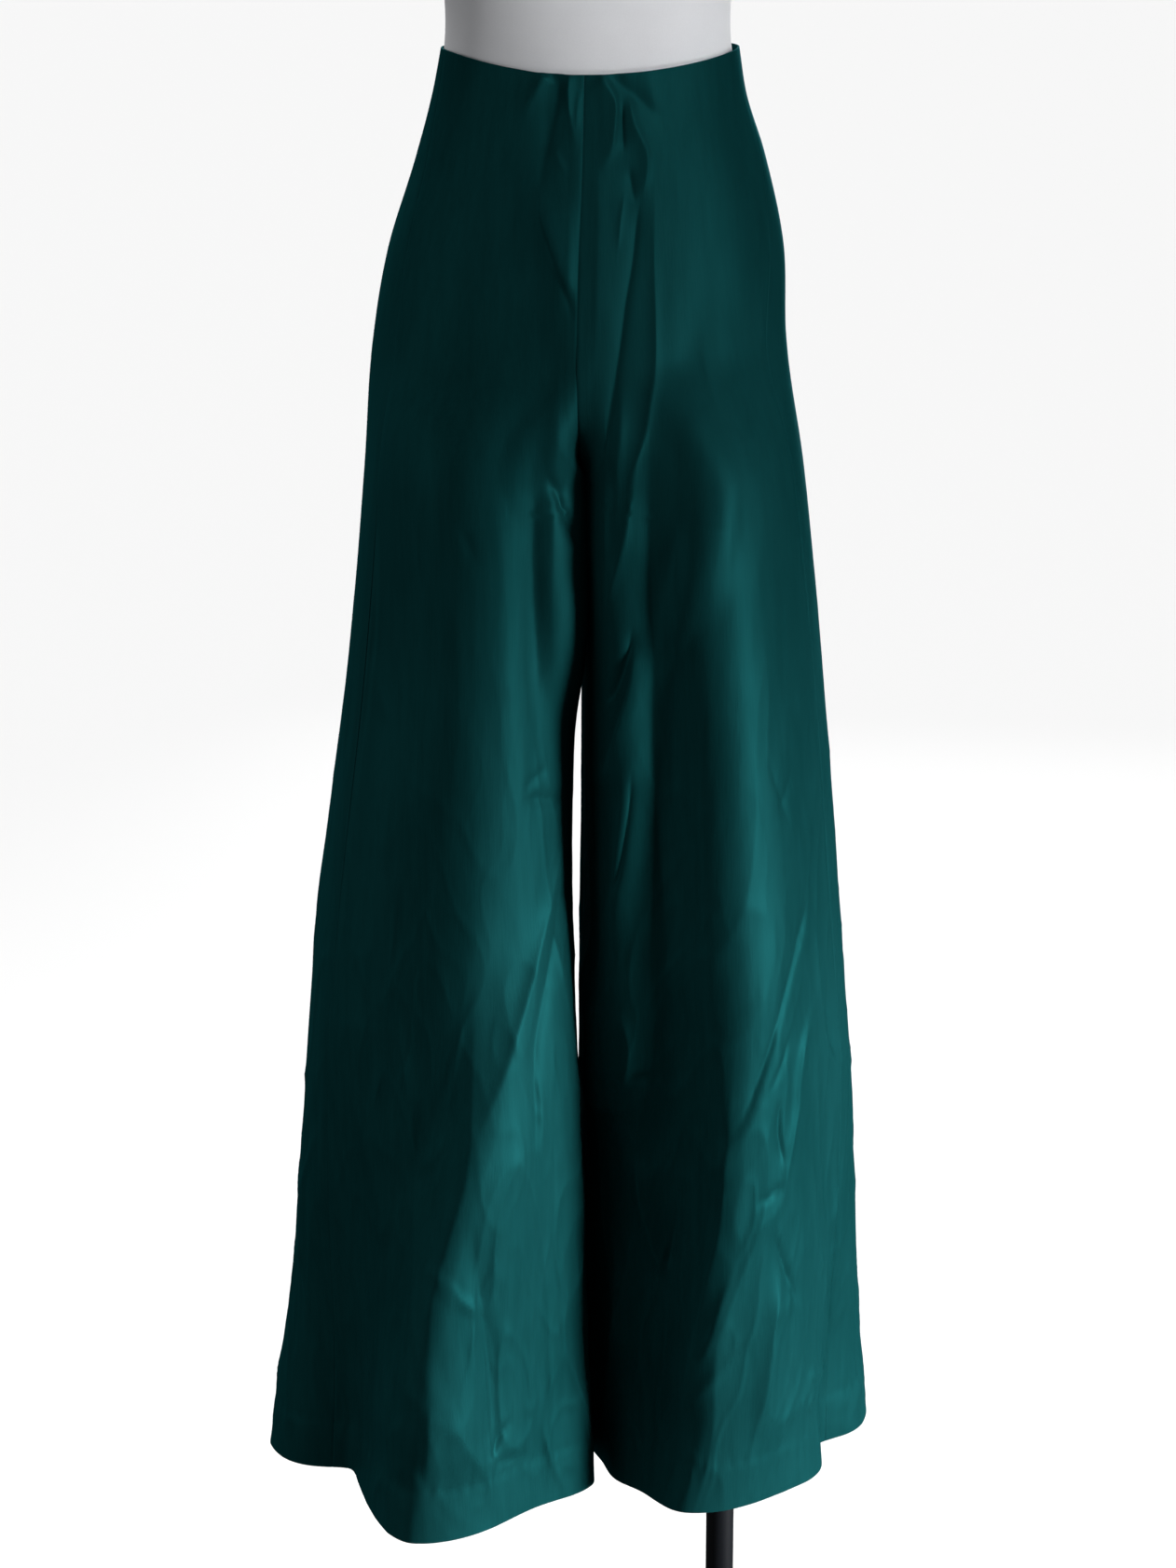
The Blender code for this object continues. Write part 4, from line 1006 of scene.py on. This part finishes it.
# The light comes from a broad window at the right, low and well to the side. A smaller one lights the form,
# and soft ones from above and behind keep the floor pale and the back readable.
lampColumns = ("name", "kind", "place", "aimHeight", "size", "spread", "power")
lamps = [
    ("window", "AREA", (2.68, -1.46, 0.50), 0.28, 0.9, 36, 12.6),
    ("far_wall", "AREA", (-2.90, -1.20, 0.90), 0.55, 1.6, 70, 2.8),
    ("high_window", "AREA", (1.75, -2.30, 2.10), 1.66, 0.4, 20, 1.4),
    ("back_wall", "AREA", (0.80, 3.20, 1.10), 0.80, 1.8, 60, 9),
    ("ceiling", "SUN", (0.0, 1.9, 4.0), 0.0, 0.9, 0, 3.7),
]
room = {
    "skyStrength": 0.09,
    "floorReach": 30.0,
    "floorTone": (0.8, 0.8, 0.8, 1.0),
    "floorRoughness": 0.8,
    "domeRadius": 29.0,
    "domeSegments": 48,
    "domeRings": 24,
    "domeGlow": 0.86,
}


def buildLamps():
    for row in lamps:
        lamp = dict(zip(lampColumns, row))
        light = bpy.data.lights.new(lamp["name"], lamp["kind"])
        light.energy = lamp["power"]
        if lamp["kind"] == "AREA":
            light.shape = "RECTANGLE"
            light.size = light.size_y = lamp["size"]
            light.spread = math.radians(lamp["spread"])
        else:
            light.angle = lamp["size"]
        made = bpy.data.objects.new(lamp["name"], light)
        made.matrix_world = facing(Vector(lamp["place"]), Vector((0.0, 0.0, lamp["aimHeight"])))
        bpy.context.scene.collection.objects.link(made)


def standAround(name, mesh, look):
    # a floor or backdrop that lights nothing
    mesh.materials.append(look)
    made = bpy.data.objects.new(name, mesh)
    made.visible_diffuse = False
    made.visible_glossy = False
    bpy.context.scene.collection.objects.link(made)
    return made


def buildRoom():
    scene = bpy.context.scene
    scene.view_settings.view_transform = "Standard"
    sky = bpy.data.worlds.new("studio")
    sky.use_nodes = True
    sky.node_tree.nodes["Background"].inputs["Color"].default_value = (1.0, 1.0, 1.0, 1.0)
    sky.node_tree.nodes["Background"].inputs["Strength"].default_value = room["skyStrength"]
    scene.world = sky
    reach = room["floorReach"]
    mesh = bpy.data.meshes.new("floor")
    corners = [(-reach, -reach, 0), (reach, -reach, 0), (reach, reach, 0), (-reach, reach, 0)]
    mesh.from_pydata(corners, [], [(0, 1, 2, 3)])
    look, shader, place = newLook("floor", {
        "Roughness": room["floorRoughness"],
        "Base Color": room["floorTone"],
    })
    standAround("floor", mesh, look)
    # a pale dome far off stands behind the object in every direction
    work = bmesh.new()
    bmesh.ops.create_uvsphere(work, u_segments=room["domeSegments"], v_segments=room["domeRings"],
                              radius=room["domeRadius"])
    mesh = bpy.data.meshes.new("backdrop")
    work.to_mesh(mesh)
    work.free()
    look, shader, place = newLook("backdrop", {
        "Roughness": 1.0,
        "Base Color": (0.0, 0.0, 0.0, 1.0),
        "Emission Color": (1.0, 1.0, 1.0, 1.0),
        "Emission Strength": room["domeGlow"],
    })
    standAround("backdrop", mesh, look).visible_shadow = False


buildCamera()
buildLamps()
buildRoom()
print("studio ready")
satinMade = satinLook()
for legName in ("right", "left"):
    for faceName in ("front", "back"):
        buildPanel(legName, faceName, satinMade)
print("trousers ready")
buildForm(coverLook())
buildCap(capLook())
buildStand(enamelLook())
print("form and stand ready")
zipMade = zipLook()
for nodeName in ("zip_slider", "zip_pull"):
    worn = bpy.data.objects[nodeName].data
    worn.materials.clear()
    worn.materials.append(zipMade)
print("zip ready")

bpy.context.view_layer.update()
